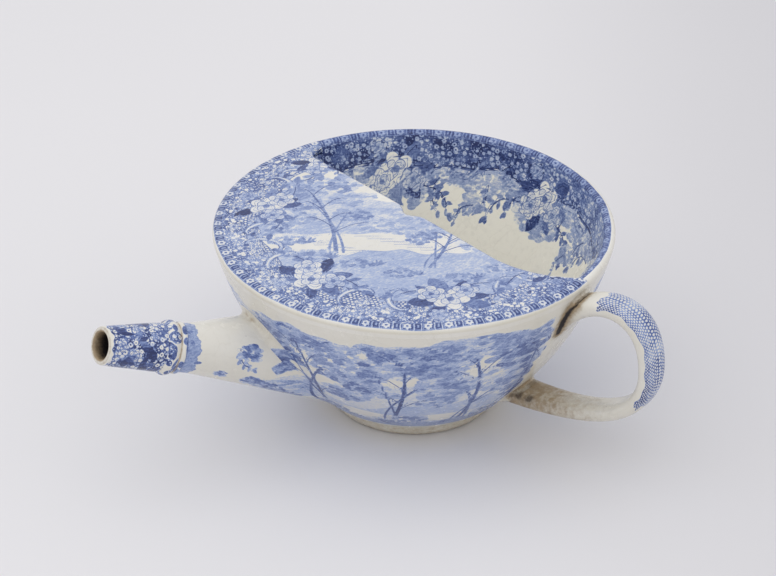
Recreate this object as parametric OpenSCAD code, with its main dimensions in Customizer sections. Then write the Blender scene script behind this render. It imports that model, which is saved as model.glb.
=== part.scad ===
// Invalid feeder: a footed earthenware bowl with a half cover, a long drinking spout and a side loop handle.
// Millimetres, +Z up, bowl axis on Z, foot standing on z = 0, spout pointing along -X.

/* [Bowl] */
// Outer diameter across the rim
rim_d = 110; // [90:1:130]
// Height of the rim above the table
bowl_h = 54.5; // [48:0.5:66]
// Thickness of the wall and of the rounded lip
wall = 3.2; // [2.6:0.1:4.2]
// How far the wall's curve stands out from a straight cone
wall_bulge = 4.3; // [2.5:0.1:8]
// Thickness of the floor at the middle
floor_t = 4; // [3:0.1:6]
// Radius of the curve between floor and wall
floor_round = 20; // [14:1:24]

/* [Foot ring] */
// Outer diameter where the ring stands on the table
foot_d = 46; // [38:0.5:54]
// Height of the ring
foot_h = 4.5; // [3:0.1:7]
// Outward lean of the ring's outside from bottom to top
foot_lean = 1.8; // [0.5:0.1:3]
// Width of the ring at the bottom
foot_w = 4.2; // [3:0.1:6]
// Bevel on the ring's lower edges
foot_bevel = 0.7; // [0.3:0.1:1.2]
// Ledge between the ring's top and the start of the bowl's wall
foot_ledge = 1.2; // [0.4:0.1:3]

/* [Half cover] */
// Thickness of the cover
cover_t = 3.2; // [2.6:0.1:4.2]
// Rise of the cover at the bowl's axis
cover_dome = 0.8; // [0.2:0.1:3]
// Distance of the free edge past the bowl's axis
cover_edge = 3.8; // [0:0.1:8]
// Turn of the cover about the bowl's axis, from the spout
cover_turn = 9.7; // [-20:0.1:20]
// Radius of the long bend at the end of the free edge beside the handle
near_bend_r = 30; // [20:1:45]
// Distance from the middle of the free edge at which that bend starts
near_bend_at = 27; // [20:0.5:32]
// Radius of the curve that carries the other end of the free edge into the rim
far_horn_r = 5; // [3:0.5:12]
// Depth of the dip in the free edge
notch_depth = 2.3; // [1:0.1:4]
// Length of the dip along the free edge
notch_w = 11; // [8:0.5:18]
// Distance of the dip from the middle of the free edge
notch_shift = 4.7; // [-8:0.1:8]

/* [Spout] */
// Horizontal distance of the spout's mouth from the bowl's axis
spout_reach = 96.2; // [85:0.2:120]
// Height of the middle of the mouth
mouth_h = 46.3; // [42:0.1:52]
// Rise of the spout above level
spout_rise = 19.5; // [14:0.5:26]
// Outer diameter at the mouth
mouth_d = 10.4; // [9:0.1:13]
// Diameter of the round bore in the mouthpiece
bore_d = 7.2; // [6:0.1:8]
// Length of the mouthpiece, from the mouth to the middle of the collar
mouthpiece_l = 20.2; // [16:0.2:28]
// Outer diameter of the neck that the collar sits on
neck_d = 13; // [12:0.1:16]
// Outer diameter of the spout where its axis meets the bowl
root_d = 21.5; // [18:0.1:25]
// Wall of the spout tube where it meets the bowl
root_wall = 3.4; // [2.6:0.1:4.5]
// Diameter of the hole through the bowl's wall
wall_hole_d = 12; // [8:0.5:14]
// Size of the smoothed clay around the joint with the bowl
spout_lute_w = 3; // [1.6:0.1:4]

/* [Collar] */
// Width of the large bead
bead_w = 4; // [3:0.1:5.5]
// Height of the large bead above the neck
bead_h = 0.9; // [0.7:0.05:1.6]
// Width of the small bead behind it
small_bead_w = 1.9; // [1.4:0.1:2.6]
// Height of the small bead above the neck
small_bead_h = 0.5; // [0.45:0.05:1]
// Width of the groove between the beads
bead_gap = 0.4; // [0.2:0.05:1]
// Thickness of the collar in the groove
collar_base = 0.3; // [0.2:0.05:0.5]
// Lean of the collar off square, as it was set by hand
collar_lean = 13; // [0:0.5:14]

/* [Handle] */
// Turn of the handle about the bowl's axis, from the spout
handle_turn = 112.7; // [90:0.1:180]
// Distance of the loop's outermost point past the rim
handle_reach = 22.2; // [18:0.1:32]
// Height of the loop's outermost point
handle_side_h = 35.5; // [30:0.5:42]
// Height of the joint under the rim
handle_top_h = 43; // [38:0.5:46]
// Height of the lower joint
handle_low_h = 14; // [11:0.2:18]
// Width of the strap
strap_w = 9.2; // [7:0.1:12]
// Thickness of the strap at the top of the loop
strap_t = 4.9; // [4:0.1:6.5]
// Thickness of the strap at the lower joint
strap_low_t = 4.6; // [2.8:0.1:6]
// Spread of the clay at the upper joint
top_spread = 3.4; // [1:0.1:6]
// Spread of the clay at the lower joint
low_spread = 2; // [1:0.1:5]

/* [Hidden] */
$fn = 128;
eps = 0.01;
far = 400;

// Wall arc: one circle through the foot's top edge and the widest point of the lip, standing wall_bulge off the chord.
rim_r = rim_d / 2;
lip_z = bowl_h - wall / 2;
base_r = foot_d / 2 + foot_lean + foot_ledge;
chord = [rim_r - base_r, lip_z - foot_h];
chord_l = norm(chord);
arc_r = (chord_l * chord_l / 4 + wall_bulge * wall_bulge) / (2 * wall_bulge);
arc_mid = [(rim_r + base_r) / 2, (lip_z + foot_h) / 2];
arc_c = arc_mid - (arc_r - wall_bulge) * [chord[1], -chord[0]] / chord_l;
inner_r = arc_r - wall;

// Lip: a round of the wall's own thickness, its top at the rim's height.
lip_r = arc_c[0] + sqrt(pow(arc_r - wall / 2, 2) - pow(lip_z - arc_c[1], 2));
lip_slope = (lip_z - arc_c[1]) / (lip_r - arc_c[0]);

// Floor round: tangent to the floor and to the inner wall arc.
floor_z = foot_h + floor_t;
round_z = floor_z + floor_round;
round_r = arc_c[0] + sqrt(pow(inner_r - floor_round, 2) - pow(arc_c[1] - round_z, 2));
round_dir = ([round_r, round_z] - arc_c) / (inner_r - floor_round);
tangent_z = round_z + floor_round * round_dir[1];

// Cover: dome, seat on the wall and the curves at both ends of the free edge.
seat_z = bowl_h - cover_t;
dome_run = rim_r - cover_t / 2;
dome_step = 0.25;
under_r = arc_c[0] + sqrt(inner_r * inner_r - pow(seat_z - arc_c[1], 2));
near_bend = [cover_edge + near_bend_r, -near_bend_at];
near_end = crossing(near_bend, near_bend_r);
near_side = 0.9 * near_end;
far_horn = [cover_edge + far_horn_r, sqrt(pow(under_r - far_horn_r, 2) - pow(cover_edge + far_horn_r, 2))];
notch_steps = 24;
edge_z = bowl_h + cover_dome * 0.9 - cover_t / 2;

// Spout stations, measured along its axis from the mouth.
neck_r = neck_d / 2;
small_at = bead_w / 2 + bead_gap + small_bead_w / 2;
collar_sway = neck_r * sin(collar_lean) + bead_gap;
collar_front = mouthpiece_l - bead_w / 2 - collar_sway;
collar_back = mouthpiece_l + small_at + small_bead_w / 2 + collar_sway;
root_l = (spout_reach - wall_r(mouth_h - (spout_reach - rim_r * 0.84) * tan(spout_rise))) / cos(spout_rise);
tube_l = root_l + 1.3 * root_d;

// Handle: two curves meeting at the outermost point, upright there.
handle_r = rim_r + handle_reach;
handle_top = [[wall_r(handle_top_h) - 1.25 * wall, handle_top_h - strap_t / 2],
              [rim_r + 0.16 * handle_reach, bowl_h + 0.1 * strap_t],
              [handle_r, bowl_h + strap_t / 4],
              [handle_r, handle_side_h]];
handle_low = [[handle_r, handle_side_h],
              [handle_r, 0.6 * handle_side_h],
              [handle_r - 0.68 * handle_reach, handle_low_h - strap_low_t / 4],
              [wall_r(handle_low_h) - 1.55 * wall, handle_low_h]];
strap_from = 0.13;
strap_to = 0.9;
strap_power = 2.8;
section_n = 28;

// Where a circle of radius r about c crosses the inside of the wall below the cover, on the side of the spout.
function crossing(c, r) =
    let (d = norm(c), along = (under_r * under_r - r * r + d * d) / (2 * d), off = sqrt(under_r * under_r - along * along))
    (along * c + off * [c[1], -c[0]]) / d;

// Outer radius of the bowl at height z.
function wall_r(z) = arc_c[0] + sqrt(arc_r * arc_r - pow(z - arc_c[1], 2));

// Outer radius of the spout tube at distance s from the mouth: a neck, then a cone opening towards the bowl.
function tube_r(s) = neck_r + (root_d / 2 - neck_r) * max(0, s - collar_back) / (root_l - collar_back);

// Cubic curve through four control points, and its direction.
function curve(p, t) =
    pow(1 - t, 3) * p[0] + 3 * t * pow(1 - t, 2) * p[1] + 3 * t * t * (1 - t) * p[2] + pow(t, 3) * p[3];
function curve_dir(p, t) =
    let (d = (1 - t) * (1 - t) * (p[1] - p[0]) + 2 * t * (1 - t) * (p[2] - p[1]) + t * t * (p[3] - p[2]))
    d / norm(d);

// Middle line of the handle in its own upright plane, from the upper joint at 0 to the lower joint at 1.
function handle_at(t) = t < 0.5 ? curve(handle_top, 2 * t) : curve(handle_low, 2 * t - 1);
function handle_dir(t) = t < 0.5 ? curve_dir(handle_top, 2 * t) : curve_dir(handle_low, 2 * t - 1);

// Width and thickness of the strap, spreading into both joints.
function near_top(t) = pow(max(0, 1 - t / 0.22), 2);
function near_low(t) = pow(max(0, (t - 0.8) / 0.2), 2);
function strap_w_at(t) = strap_w + top_spread * near_top(t) + low_spread * near_low(t);
function strap_t_at(t) =
    strap_t + (strap_low_t - strap_t) * t + 0.6 * top_spread * near_top(t) + 0.4 * low_spread * near_low(t);

// One rounded cross-section of the strap: flat-sided oval set square to the middle line.
function oval(a, power) = sign(a) * pow(abs(a), 2 / power);
function strap_section(t) =
    let (p = handle_at(t), d = handle_dir(t), w = strap_w_at(t) / 2, h = strap_t_at(t) / 2)
    [for (i = [0:section_n - 1])
        let (a = 360 * i / section_n, out = h * oval(sin(a), strap_power), across = w * oval(cos(a), strap_power))
        [p[0] - d[1] * out, across, p[1] + d[0] * out]];

// Skin over a row of sections with the same number of points, capped at both ends.
module loft(rows) {
    n = len(rows[0]);
    m = len(rows);
    polyhedron(
        points = [for (row = rows) each row],
        faces = concat(
            [[for (i = [0:n - 1]) i]],
            [for (j = [0:m - 2], i = [0:n - 1]) [j * n + i, (j + 1) * n + i, (j + 1) * n + (i + 1) % n, j * n + (i + 1) % n]],
            [[for (i = [n - 1:-1:0]) (m - 1) * n + i]]),
        convexity = 6);
}

// Skin over a closed ring of sections.
module ring_loft(rows) {
    n = len(rows[0]);
    m = len(rows);
    polyhedron(
        points = [for (row = rows) each row],
        faces = [for (j = [0:m - 1], i = [0:n - 1])
            [j * n + i, ((j + 1) % m) * n + i, ((j + 1) % m) * n + (i + 1) % n, j * n + (i + 1) % n]],
        convexity = 6);
}

// Frames: the spout's axis from the mouth inwards, the cover's free edge, the handle's plane.
module on_spout() {
    translate([-spout_reach, 0, mouth_h]) rotate([0, 90 + spout_rise, 0]) children();
}
module on_cover() {
    rotate([0, 0, cover_turn]) children();
}
module on_handle() {
    rotate([0, 0, 180 + handle_turn]) children();
}

// Half section of everything inside the bowl's outer skin.
module outer_section() {
    intersection() {
        translate(arc_c) circle(r = arc_r, $fn = 720);
        translate([0, foot_h]) square([2 * rim_r, bowl_h]);
    }
}

// Half section of the hollow: wall arc above, floor round below, flat floor in the middle.
module hollow_section() {
    intersection() {
        translate(arc_c) circle(r = inner_r, $fn = 720);
        translate([0, tangent_z]) square([2 * rim_r, 2 * bowl_h]);
    }
    intersection() {
        translate([round_r, round_z]) circle(r = floor_round, $fn = 360);
        translate([0, floor_z]) square([2 * rim_r, round_z - floor_z]);
    }
    translate([0, floor_z]) square([round_r, tangent_z - floor_z + eps]);
}

// Half section of the bowl up to the middle of the lip, and the lip's round.
module bowl_section() {
    intersection() {
        difference() {
            outer_section();
            hollow_section();
        }
        polygon([[0, 0], [far, 0], [far, lip_z + lip_slope * (far - lip_r)], [0, lip_z - lip_slope * lip_r]]);
    }
    translate([lip_r, lip_z]) circle(d = wall);
}

// Everything inside the bowl's outer skin, and the space under its floor.
module inside_bowl() {
    rotate_extrude() {
        outer_section();
        square([base_r, foot_h + eps]);
    }
}

// Wedge between the two ends of the cover, seen from above, and the whole sector of the rim that it leaves open.
module open_wedge() {
    polygon([near_side, far * near_side, far * far_horn, far_horn]);
}
module open_sector() {
    open_wedge();
    polygon([[0, near_side[1]], near_side, far_horn, [0, far_horn[1]]]);
}

module bowl() {
    color("#ece7d8")
    difference() {
        rotate_extrude() bowl_section();
        on_cover() translate([0, 0, seat_z]) linear_extrude(cover_t + 2) difference() {
            circle(r = rim_r + 5);
            open_sector();
        }
        on_spout() translate([0, 0, root_l - wall_hole_d]) cylinder(d = wall_hole_d, h = wall_hole_d + 4 * wall);
    }
}

module foot_ring() {
    color("#e2dbc6")
    rotate_extrude() polygon([
        [foot_d / 2 - foot_w - foot_lean / 2, foot_h],
        [foot_d / 2 - foot_w, foot_bevel],
        [foot_d / 2 - foot_w + foot_bevel, 0],
        [foot_d / 2 - foot_bevel, 0],
        [foot_d / 2, foot_bevel],
        [foot_d / 2 + foot_lean, foot_h]]);
}

// Half section of the cover as a full disc: a gentle dome, level at the middle, on a flat seat that runs out to the
// bowl's skin, with a rounded rim.
module cover_section() {
    polygon(concat(
        [[0, seat_z], [wall_r(seat_z), seat_z], [rim_r, bowl_h - cover_t / 2], [dome_run, bowl_h - cover_t / 2]],
        [for (u = [1:-dome_step:dome_step]) [dome_run * u, bowl_h + cover_dome * (1 - u * u)]],
        [[0, bowl_h + cover_dome * (1 - dome_step * dome_step)]]));
    translate([dome_run, bowl_h - cover_t / 2]) circle(d = cover_t);
}

// What is cut away past a rounded edge: x runs out from the edge, y up from the middle of the thickness.
module nose_cut() {
    difference() {
        translate([-cover_t / 2, -2 * cover_t]) square([near_bend_r, 4 * cover_t]);
        translate([-cover_t / 2, 0]) circle(d = cover_t);
    }
}

// The same round cut carried along a curve of radius r at an end of the free edge.
module bend_cut(r) {
    rotate_extrude() difference() {
        translate([0, -2 * cover_t]) square([r + cover_t / 2, 4 * cover_t]);
        translate([r + cover_t / 2, 0]) circle(d = cover_t);
    }
}

// The dip in the free edge: one wave, deepest at the middle and running out level at both ends.
module notch_plan() {
    polygon(concat(
        [[cover_t, -notch_w / 2]],
        [for (i = [0:notch_steps]) let (u = i / notch_steps - 0.5)
            [-notch_depth * (1 + cos(360 * u)) / 2, notch_w * u]],
        [[cover_t, notch_w / 2]]));
}

module half_cover() {
    color("#c9d0e6")
    on_cover() difference() {
        rotate_extrude() cover_section();
        translate([0, 0, seat_z - 1]) linear_extrude(cover_t + cover_dome + 2) {
            open_wedge();
            translate([cover_edge, notch_shift]) notch_plan();
        }
        translate([cover_edge, far_horn[1], edge_z]) rotate([90, 0, 0])
            linear_extrude(far_horn[1] - near_bend[1]) nose_cut();
        translate([near_bend[0], near_bend[1], edge_z]) bend_cut(near_bend_r);
        translate([far_horn[0], far_horn[1], edge_z]) bend_cut(far_horn_r);
    }
}

module spout_tube() {
    color("#e9e5da")
    difference() {
        on_spout() rotate_extrude() polygon([
            [bore_d / 2, mouthpiece_l], [neck_r, mouthpiece_l], [neck_r, collar_back],
            [tube_r(tube_l), tube_l], [tube_r(tube_l) - root_wall, tube_l]]);
        inside_bowl();
    }
}

// Half section of a rounded bead of the given width and height, standing on the neck.
module bead(w, h) {
    r = (w * w / 4 + h * h) / (2 * h);
    translate([neck_r + h - r, 0]) circle(r = r);
}

module spout_collar() {
    color("#d8d6da")
    on_spout() difference() {
        translate([0, 0, mouthpiece_l]) rotate([collar_lean, 0, 0]) rotate_extrude() intersection() {
            union() {
                bead(bead_w, bead_h);
                translate([0, small_at]) bead(small_bead_w, small_bead_h);
                translate([0, -bead_w / 4]) square([neck_r + collar_base, small_at + bead_w / 4]);
            }
            translate([neck_r - 1, -bead_w]) square([3 * bead_h, 3 * bead_w]);
        }
        translate([0, 0, collar_front - bead_w]) cylinder(r = neck_r, h = collar_back - collar_front + 2 * bead_w);
    }
}

module mouthpiece() {
    color("#b9c4e2")
    on_spout() rotate_extrude() {
        polygon([
            [bore_d / 2, (mouth_d - bore_d) / 4], [mouth_d / 2, (mouth_d - bore_d) / 4],
            [neck_r, collar_front], [neck_r, mouthpiece_l], [bore_d / 2, mouthpiece_l]]);
        translate([(mouth_d + bore_d) / 4, (mouth_d - bore_d) / 4]) circle(d = (mouth_d - bore_d) / 2, $fn = 48);
    }
}

// Point on the spout tube's outside at turn a about its axis and distance s from the mouth, in the bowl's frame.
function tube_point(a, s) =
    let (r = tube_r(s), c = cos(spout_rise), k = sin(spout_rise), x = r * cos(a))
    [-spout_reach - x * k + s * c, r * sin(a), mouth_h - x * c - s * k];

// How far a point stands outside the bowl's wall.
function off_wall(p) = norm([norm([p[0], p[1]]) - arc_c[0], p[2] - arc_c[1]]) - arc_r;

// Distance along the tube at which its outside meets the bowl's wall, by halving.
function meet(a, near, beyond, n) =
    let (mid = (near + beyond) / 2)
    n == 0 ? mid : off_wall(tube_point(a, mid)) > 0 ? meet(a, mid, beyond, n - 1) : meet(a, near, mid, n - 1);

// The same point carried onto the bowl's wall along the wall's normal.
function on_wall(p) =
    let (r = norm([p[0], p[1]]), q = [r - arc_c[0], p[2] - arc_c[1]], k = arc_c + q * arc_r / norm(q))
    [p[0] * k[0] / r, p[1] * k[0] / r, k[1]];

// Fillet section at turn a: the seam, a foot on the wall, a hollow curve, a foot on the tube.
function lute_section(a) =
    let (
        s = meet(a, collar_back, tube_l, 30),
        seam = tube_point(a, s),
        up = tube_point(a, s - spout_lute_w),
        out = tube_point(a, s) - [-spout_reach + s * cos(spout_rise), 0, mouth_h - s * sin(spout_rise)],
        down = on_wall(seam + spout_lute_w * out / norm(out)),
        mid = (up + down) / 2,
        mid_in = mid + 0.35 * (seam - mid))
    [seam, down, (down + mid_in) / 2 + 0.08 * (seam - mid), mid_in, (up + mid_in) / 2 + 0.08 * (seam - mid), up];

module spout_lute() {
    color("#e6dfc9")
    ring_loft([for (i = [0:71]) lute_section(360 * i / 72)]);
}

module handle_strap() {
    color("#cfd6ea")
    on_handle() loft([for (i = [0:44]) strap_section(strap_from + (strap_to - strap_from) * i / 44)]);
}

module handle_top_lute() {
    color("#e4dcc6")
    difference() {
        on_handle() loft([for (i = [0:8]) strap_section(strap_from * i / 8)]);
        inside_bowl();
    }
}

module handle_low_lute() {
    color("#d9cdb2")
    difference() {
        on_handle() loft([for (i = [0:8]) strap_section(strap_to + (1 - strap_to) * i / 8)]);
        inside_bowl();
    }
}

bowl();
foot_ring();
half_cover();
spout_tube();
spout_collar();
mouthpiece();
spout_lute();
handle_strap();
handle_top_lute();
handle_low_lute();
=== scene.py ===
"""Invalid feeder: a blue printed earthenware cup with a half cover, a drinking spout and a loop handle.

Every piece is a grid of points worked out in millimetres in the part's own frame: bowl axis on Z, foot on
z = 0, spout along -X. Printed pieces carry their drawing as point values, which the ink nodes turn into
crisp edges.
"""

import bpy
import numpy as np
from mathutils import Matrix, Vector


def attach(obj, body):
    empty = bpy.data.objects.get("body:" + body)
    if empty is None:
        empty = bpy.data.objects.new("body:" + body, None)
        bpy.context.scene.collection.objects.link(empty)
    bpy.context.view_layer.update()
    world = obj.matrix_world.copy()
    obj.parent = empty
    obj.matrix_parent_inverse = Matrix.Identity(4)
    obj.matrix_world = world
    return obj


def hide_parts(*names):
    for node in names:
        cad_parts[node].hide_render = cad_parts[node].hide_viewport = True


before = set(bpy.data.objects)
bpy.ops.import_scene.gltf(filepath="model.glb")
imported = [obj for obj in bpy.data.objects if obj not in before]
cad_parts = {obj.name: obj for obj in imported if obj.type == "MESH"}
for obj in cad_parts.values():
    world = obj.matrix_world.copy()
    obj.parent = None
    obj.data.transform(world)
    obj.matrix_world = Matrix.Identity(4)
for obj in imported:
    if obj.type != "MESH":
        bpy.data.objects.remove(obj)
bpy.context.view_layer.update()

# Sizes, as in the part's source: mm, and angles taken from degrees to radians
RIM_R, BOWL_H, WALL, WALL_BULGE = 55.0, 54.5, 3.2, 4.3
FLOOR_T, FLOOR_ROUND = 4.0, 20.0
FOOT_R, FOOT_H, FOOT_LEAN, FOOT_W, FOOT_LEDGE = 23.0, 4.5, 1.8, 4.2, 1.2
COVER_T, COVER_DOME, COVER_EDGE, COVER_TURN = 3.2, 0.8, 3.8, np.radians(9.7)
NEAR_BEND_R, NEAR_BEND_AT, FAR_HORN_R = 30.0, 27.0, 5.0
NOTCH_DEPTH, NOTCH_W, NOTCH_SHIFT = 2.3, 11.0, 4.7
SPOUT_REACH, MOUTH_H, SPOUT_RISE = 96.2, 46.3, np.radians(19.5)
MOUTH_R, BORE_R, MOUTHPIECE_L, NECK_R, ROOT_R = 5.2, 3.6, 20.2, 6.5, 10.75
WALL_HOLE_R, PASSAGE_L, PASSAGE_WALL = 6.0, 18.0, 1.0
BEAD_W, BEAD_H, SMALL_BEAD_W, SMALL_BEAD_H, BEAD_GAP = 4.0, 0.9, 1.9, 0.5, 0.4
COLLAR_BASE, COLLAR_LEAN = 0.3, np.radians(13.0)
HANDLE_AT, HANDLE_REACH, HANDLE_SIDE_H = np.radians(292.7), 22.2, 35.5
HANDLE_TOP_H, HANDLE_LOW_H = 43.0, 14.0
STRAP_W, STRAP_T, STRAP_LOW_T, TOP_SPREAD, LOW_SPREAD = 9.2, 4.9, 4.6, 3.4, 2.0

# Places that follow from the sizes
LIP_Z = BOWL_H - WALL / 2
BASE_R = FOOT_R + FOOT_LEAN + FOOT_LEDGE
chord = np.array([RIM_R - BASE_R, LIP_Z - FOOT_H])
chord_l = np.hypot(*chord)
ARC_R = (chord_l ** 2 / 4 + WALL_BULGE ** 2) / (2 * WALL_BULGE)
ARC_C = np.array([(RIM_R + BASE_R) / 2, (LIP_Z + FOOT_H) / 2]) \
    - (ARC_R - WALL_BULGE) * np.array([chord[1], -chord[0]]) / chord_l
INNER_R = ARC_R - WALL
LIP_R = ARC_C[0] + np.sqrt((ARC_R - WALL / 2) ** 2 - (LIP_Z - ARC_C[1]) ** 2)
FLOOR_Z = FOOT_H + FLOOR_T
ROUND_Z = FLOOR_Z + FLOOR_ROUND
ROUND_R = ARC_C[0] + np.sqrt((INNER_R - FLOOR_ROUND) ** 2 - (ARC_C[1] - ROUND_Z) ** 2)
SEAT_Z = BOWL_H - COVER_T
UNDER_R = ARC_C[0] + np.sqrt(INNER_R ** 2 - (SEAT_Z - ARC_C[1]) ** 2)
NEAR_BEND = np.array([COVER_EDGE + NEAR_BEND_R, -NEAR_BEND_AT])
bend_l = np.hypot(*NEAR_BEND)
bend_in = (UNDER_R ** 2 - NEAR_BEND_R ** 2 + bend_l ** 2) / (2 * bend_l)
bend_side = np.sqrt(UNDER_R ** 2 - bend_in ** 2)
NEAR_END = (bend_in * NEAR_BEND + bend_side * np.array([NEAR_BEND[1], -NEAR_BEND[0]])) / bend_l
horn_x = COVER_EDGE + FAR_HORN_R
FAR_HORN = np.array([horn_x, np.sqrt((UNDER_R - FAR_HORN_R) ** 2 - horn_x ** 2)])
FAR_END = FAR_HORN * UNDER_R / np.hypot(*FAR_HORN)
OPEN_FROM = COVER_TURN + np.arctan2(NEAR_END[1], NEAR_END[0])
OPEN_TO = COVER_TURN + np.arctan2(FAR_END[1], FAR_END[0])
SMALL_AT = BEAD_W / 2 + BEAD_GAP + SMALL_BEAD_W / 2
COLLAR_SWAY = NECK_R * np.sin(COLLAR_LEAN) + BEAD_GAP
COLLAR_FRONT = MOUTHPIECE_L - BEAD_W / 2 - COLLAR_SWAY
COLLAR_BACK = MOUTHPIECE_L + SMALL_AT + SMALL_BEAD_W / 2 + COLLAR_SWAY
MOUTH = np.array([-SPOUT_REACH, 0, MOUTH_H])
SPOUT_AXIS = np.array([np.cos(SPOUT_RISE), 0, -np.sin(SPOUT_RISE)])
SPOUT_DOWN = np.array([-np.sin(SPOUT_RISE), 0, -np.cos(SPOUT_RISE)])
SPOUT_SIDE = np.array([0.0, 1.0, 0.0])

# A full turn, the turn of the photograph's view about Z, and a millimetre in metres
TURN, PHOTO_TURN, MM = 2 * np.pi, np.radians(31.3), 0.001

# Flat drawings: mm of drawing for each radian round a piece
WALL_MM, LIP_MM, RIM_MM, TUBE_MM, MOUTH_MM, COLLAR_MM = 42, 50, 53, 9, 6, 7

# The outside's drawing: length up the wall from the foot to the crest, and the height at which it starts
FOOT_RUN, DRAWING_LIFT = 62.0, 2.6

# Point values of a place without print, and the tones that stand for a patterned ground
BARE = (-4.0, 0.0, 0.0, 0.0)
LACE_TONE, DIAPER_TONE = 2.0, 3.0

# How far in mm a motif is felt past its edge, and how far from its edge a point has one tone only
EDGE_REACH, ONE_TONE = 2.0, 1.0

# Margin and span of the square that each piece is laid out on for baking
BAKE_MARGIN, BAKE_SPAN = 0.002, 0.996


def wall_r(z):
    """Outer radius of the bowl at height z: a point on the wall's one circle."""
    return ARC_C[0] + np.sqrt(ARC_R ** 2 - (z - ARC_C[1]) ** 2)


def off_wall(p):
    """How far points stand outside the bowl's skin: distance from the wall circle's centre less its
    radius."""
    return np.hypot(np.hypot(p[..., 0], p[..., 1]) - ARC_C[0], p[..., 2] - ARC_C[1]) - ARC_R


def on_wall(p, lift=0.0):
    """Points carried onto the bowl's outer skin along its normal, then lifted off it."""
    r = np.hypot(p[..., 0], p[..., 1])
    q = np.stack([r - ARC_C[0], p[..., 2] - ARC_C[1]], -1)
    q *= ((ARC_R + lift) / np.linalg.norm(q, axis=-1))[..., None]
    return np.stack([p[..., 0] / r * (ARC_C[0] + q[..., 0]), p[..., 1] / r * (ARC_C[0] + q[..., 0]),
                     ARC_C[1] + q[..., 1]], -1)


def in_wall(p):
    """Points that would come through the wall are kept three quarters of the way into it."""
    deep = -0.75 * WALL
    return np.where(off_wall(p)[..., None] < deep, on_wall(p, deep), p)


# Length of the spout to its root, which is first taken at this share of the rim's radius
ROOT_SHARE = 0.84
root_drop = (SPOUT_REACH - RIM_R * ROOT_SHARE) * np.tan(SPOUT_RISE)
ROOT_L = (SPOUT_REACH - wall_r(MOUTH_H - root_drop)) / np.cos(SPOUT_RISE)


def turns(count):
    """Even steps round a full turn."""
    return np.arange(count) / count * TURN


# From grids to meshes
def end_fans(points, maps):
    """Fans that close both ends of an open grid: hub points, triangles, and the corners' flat
    coordinates."""
    rows, cols = points.shape[:2]
    k = np.arange(cols)
    hubs, fans, flats = [], [], [[], []]
    for row, hub, side in ((0, rows * cols, -1), (rows - 1, rows * cols + 1, 1)):
        hubs.append(points[row].mean(0))
        ring = np.stack([row * cols + k, row * cols + (k + 1) % cols], -1)
        fans.append(np.column_stack([ring[:, ::side], np.full(cols, hub)]))
        first, second = (k + 1, k) if side < 0 else (k, k + 1)
        for flat, m, reach in zip(flats, maps, (BAKE_SPAN / (rows + 1), 0.0)):
            tip = m[row, k] * 0.5 + m[row, k + 1] * 0.5 + [0, side * reach]
            flat.append(np.stack([m[row, first], m[row, second], tip], 1).reshape(-1, 2))
    return hubs, fans, flats


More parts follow.
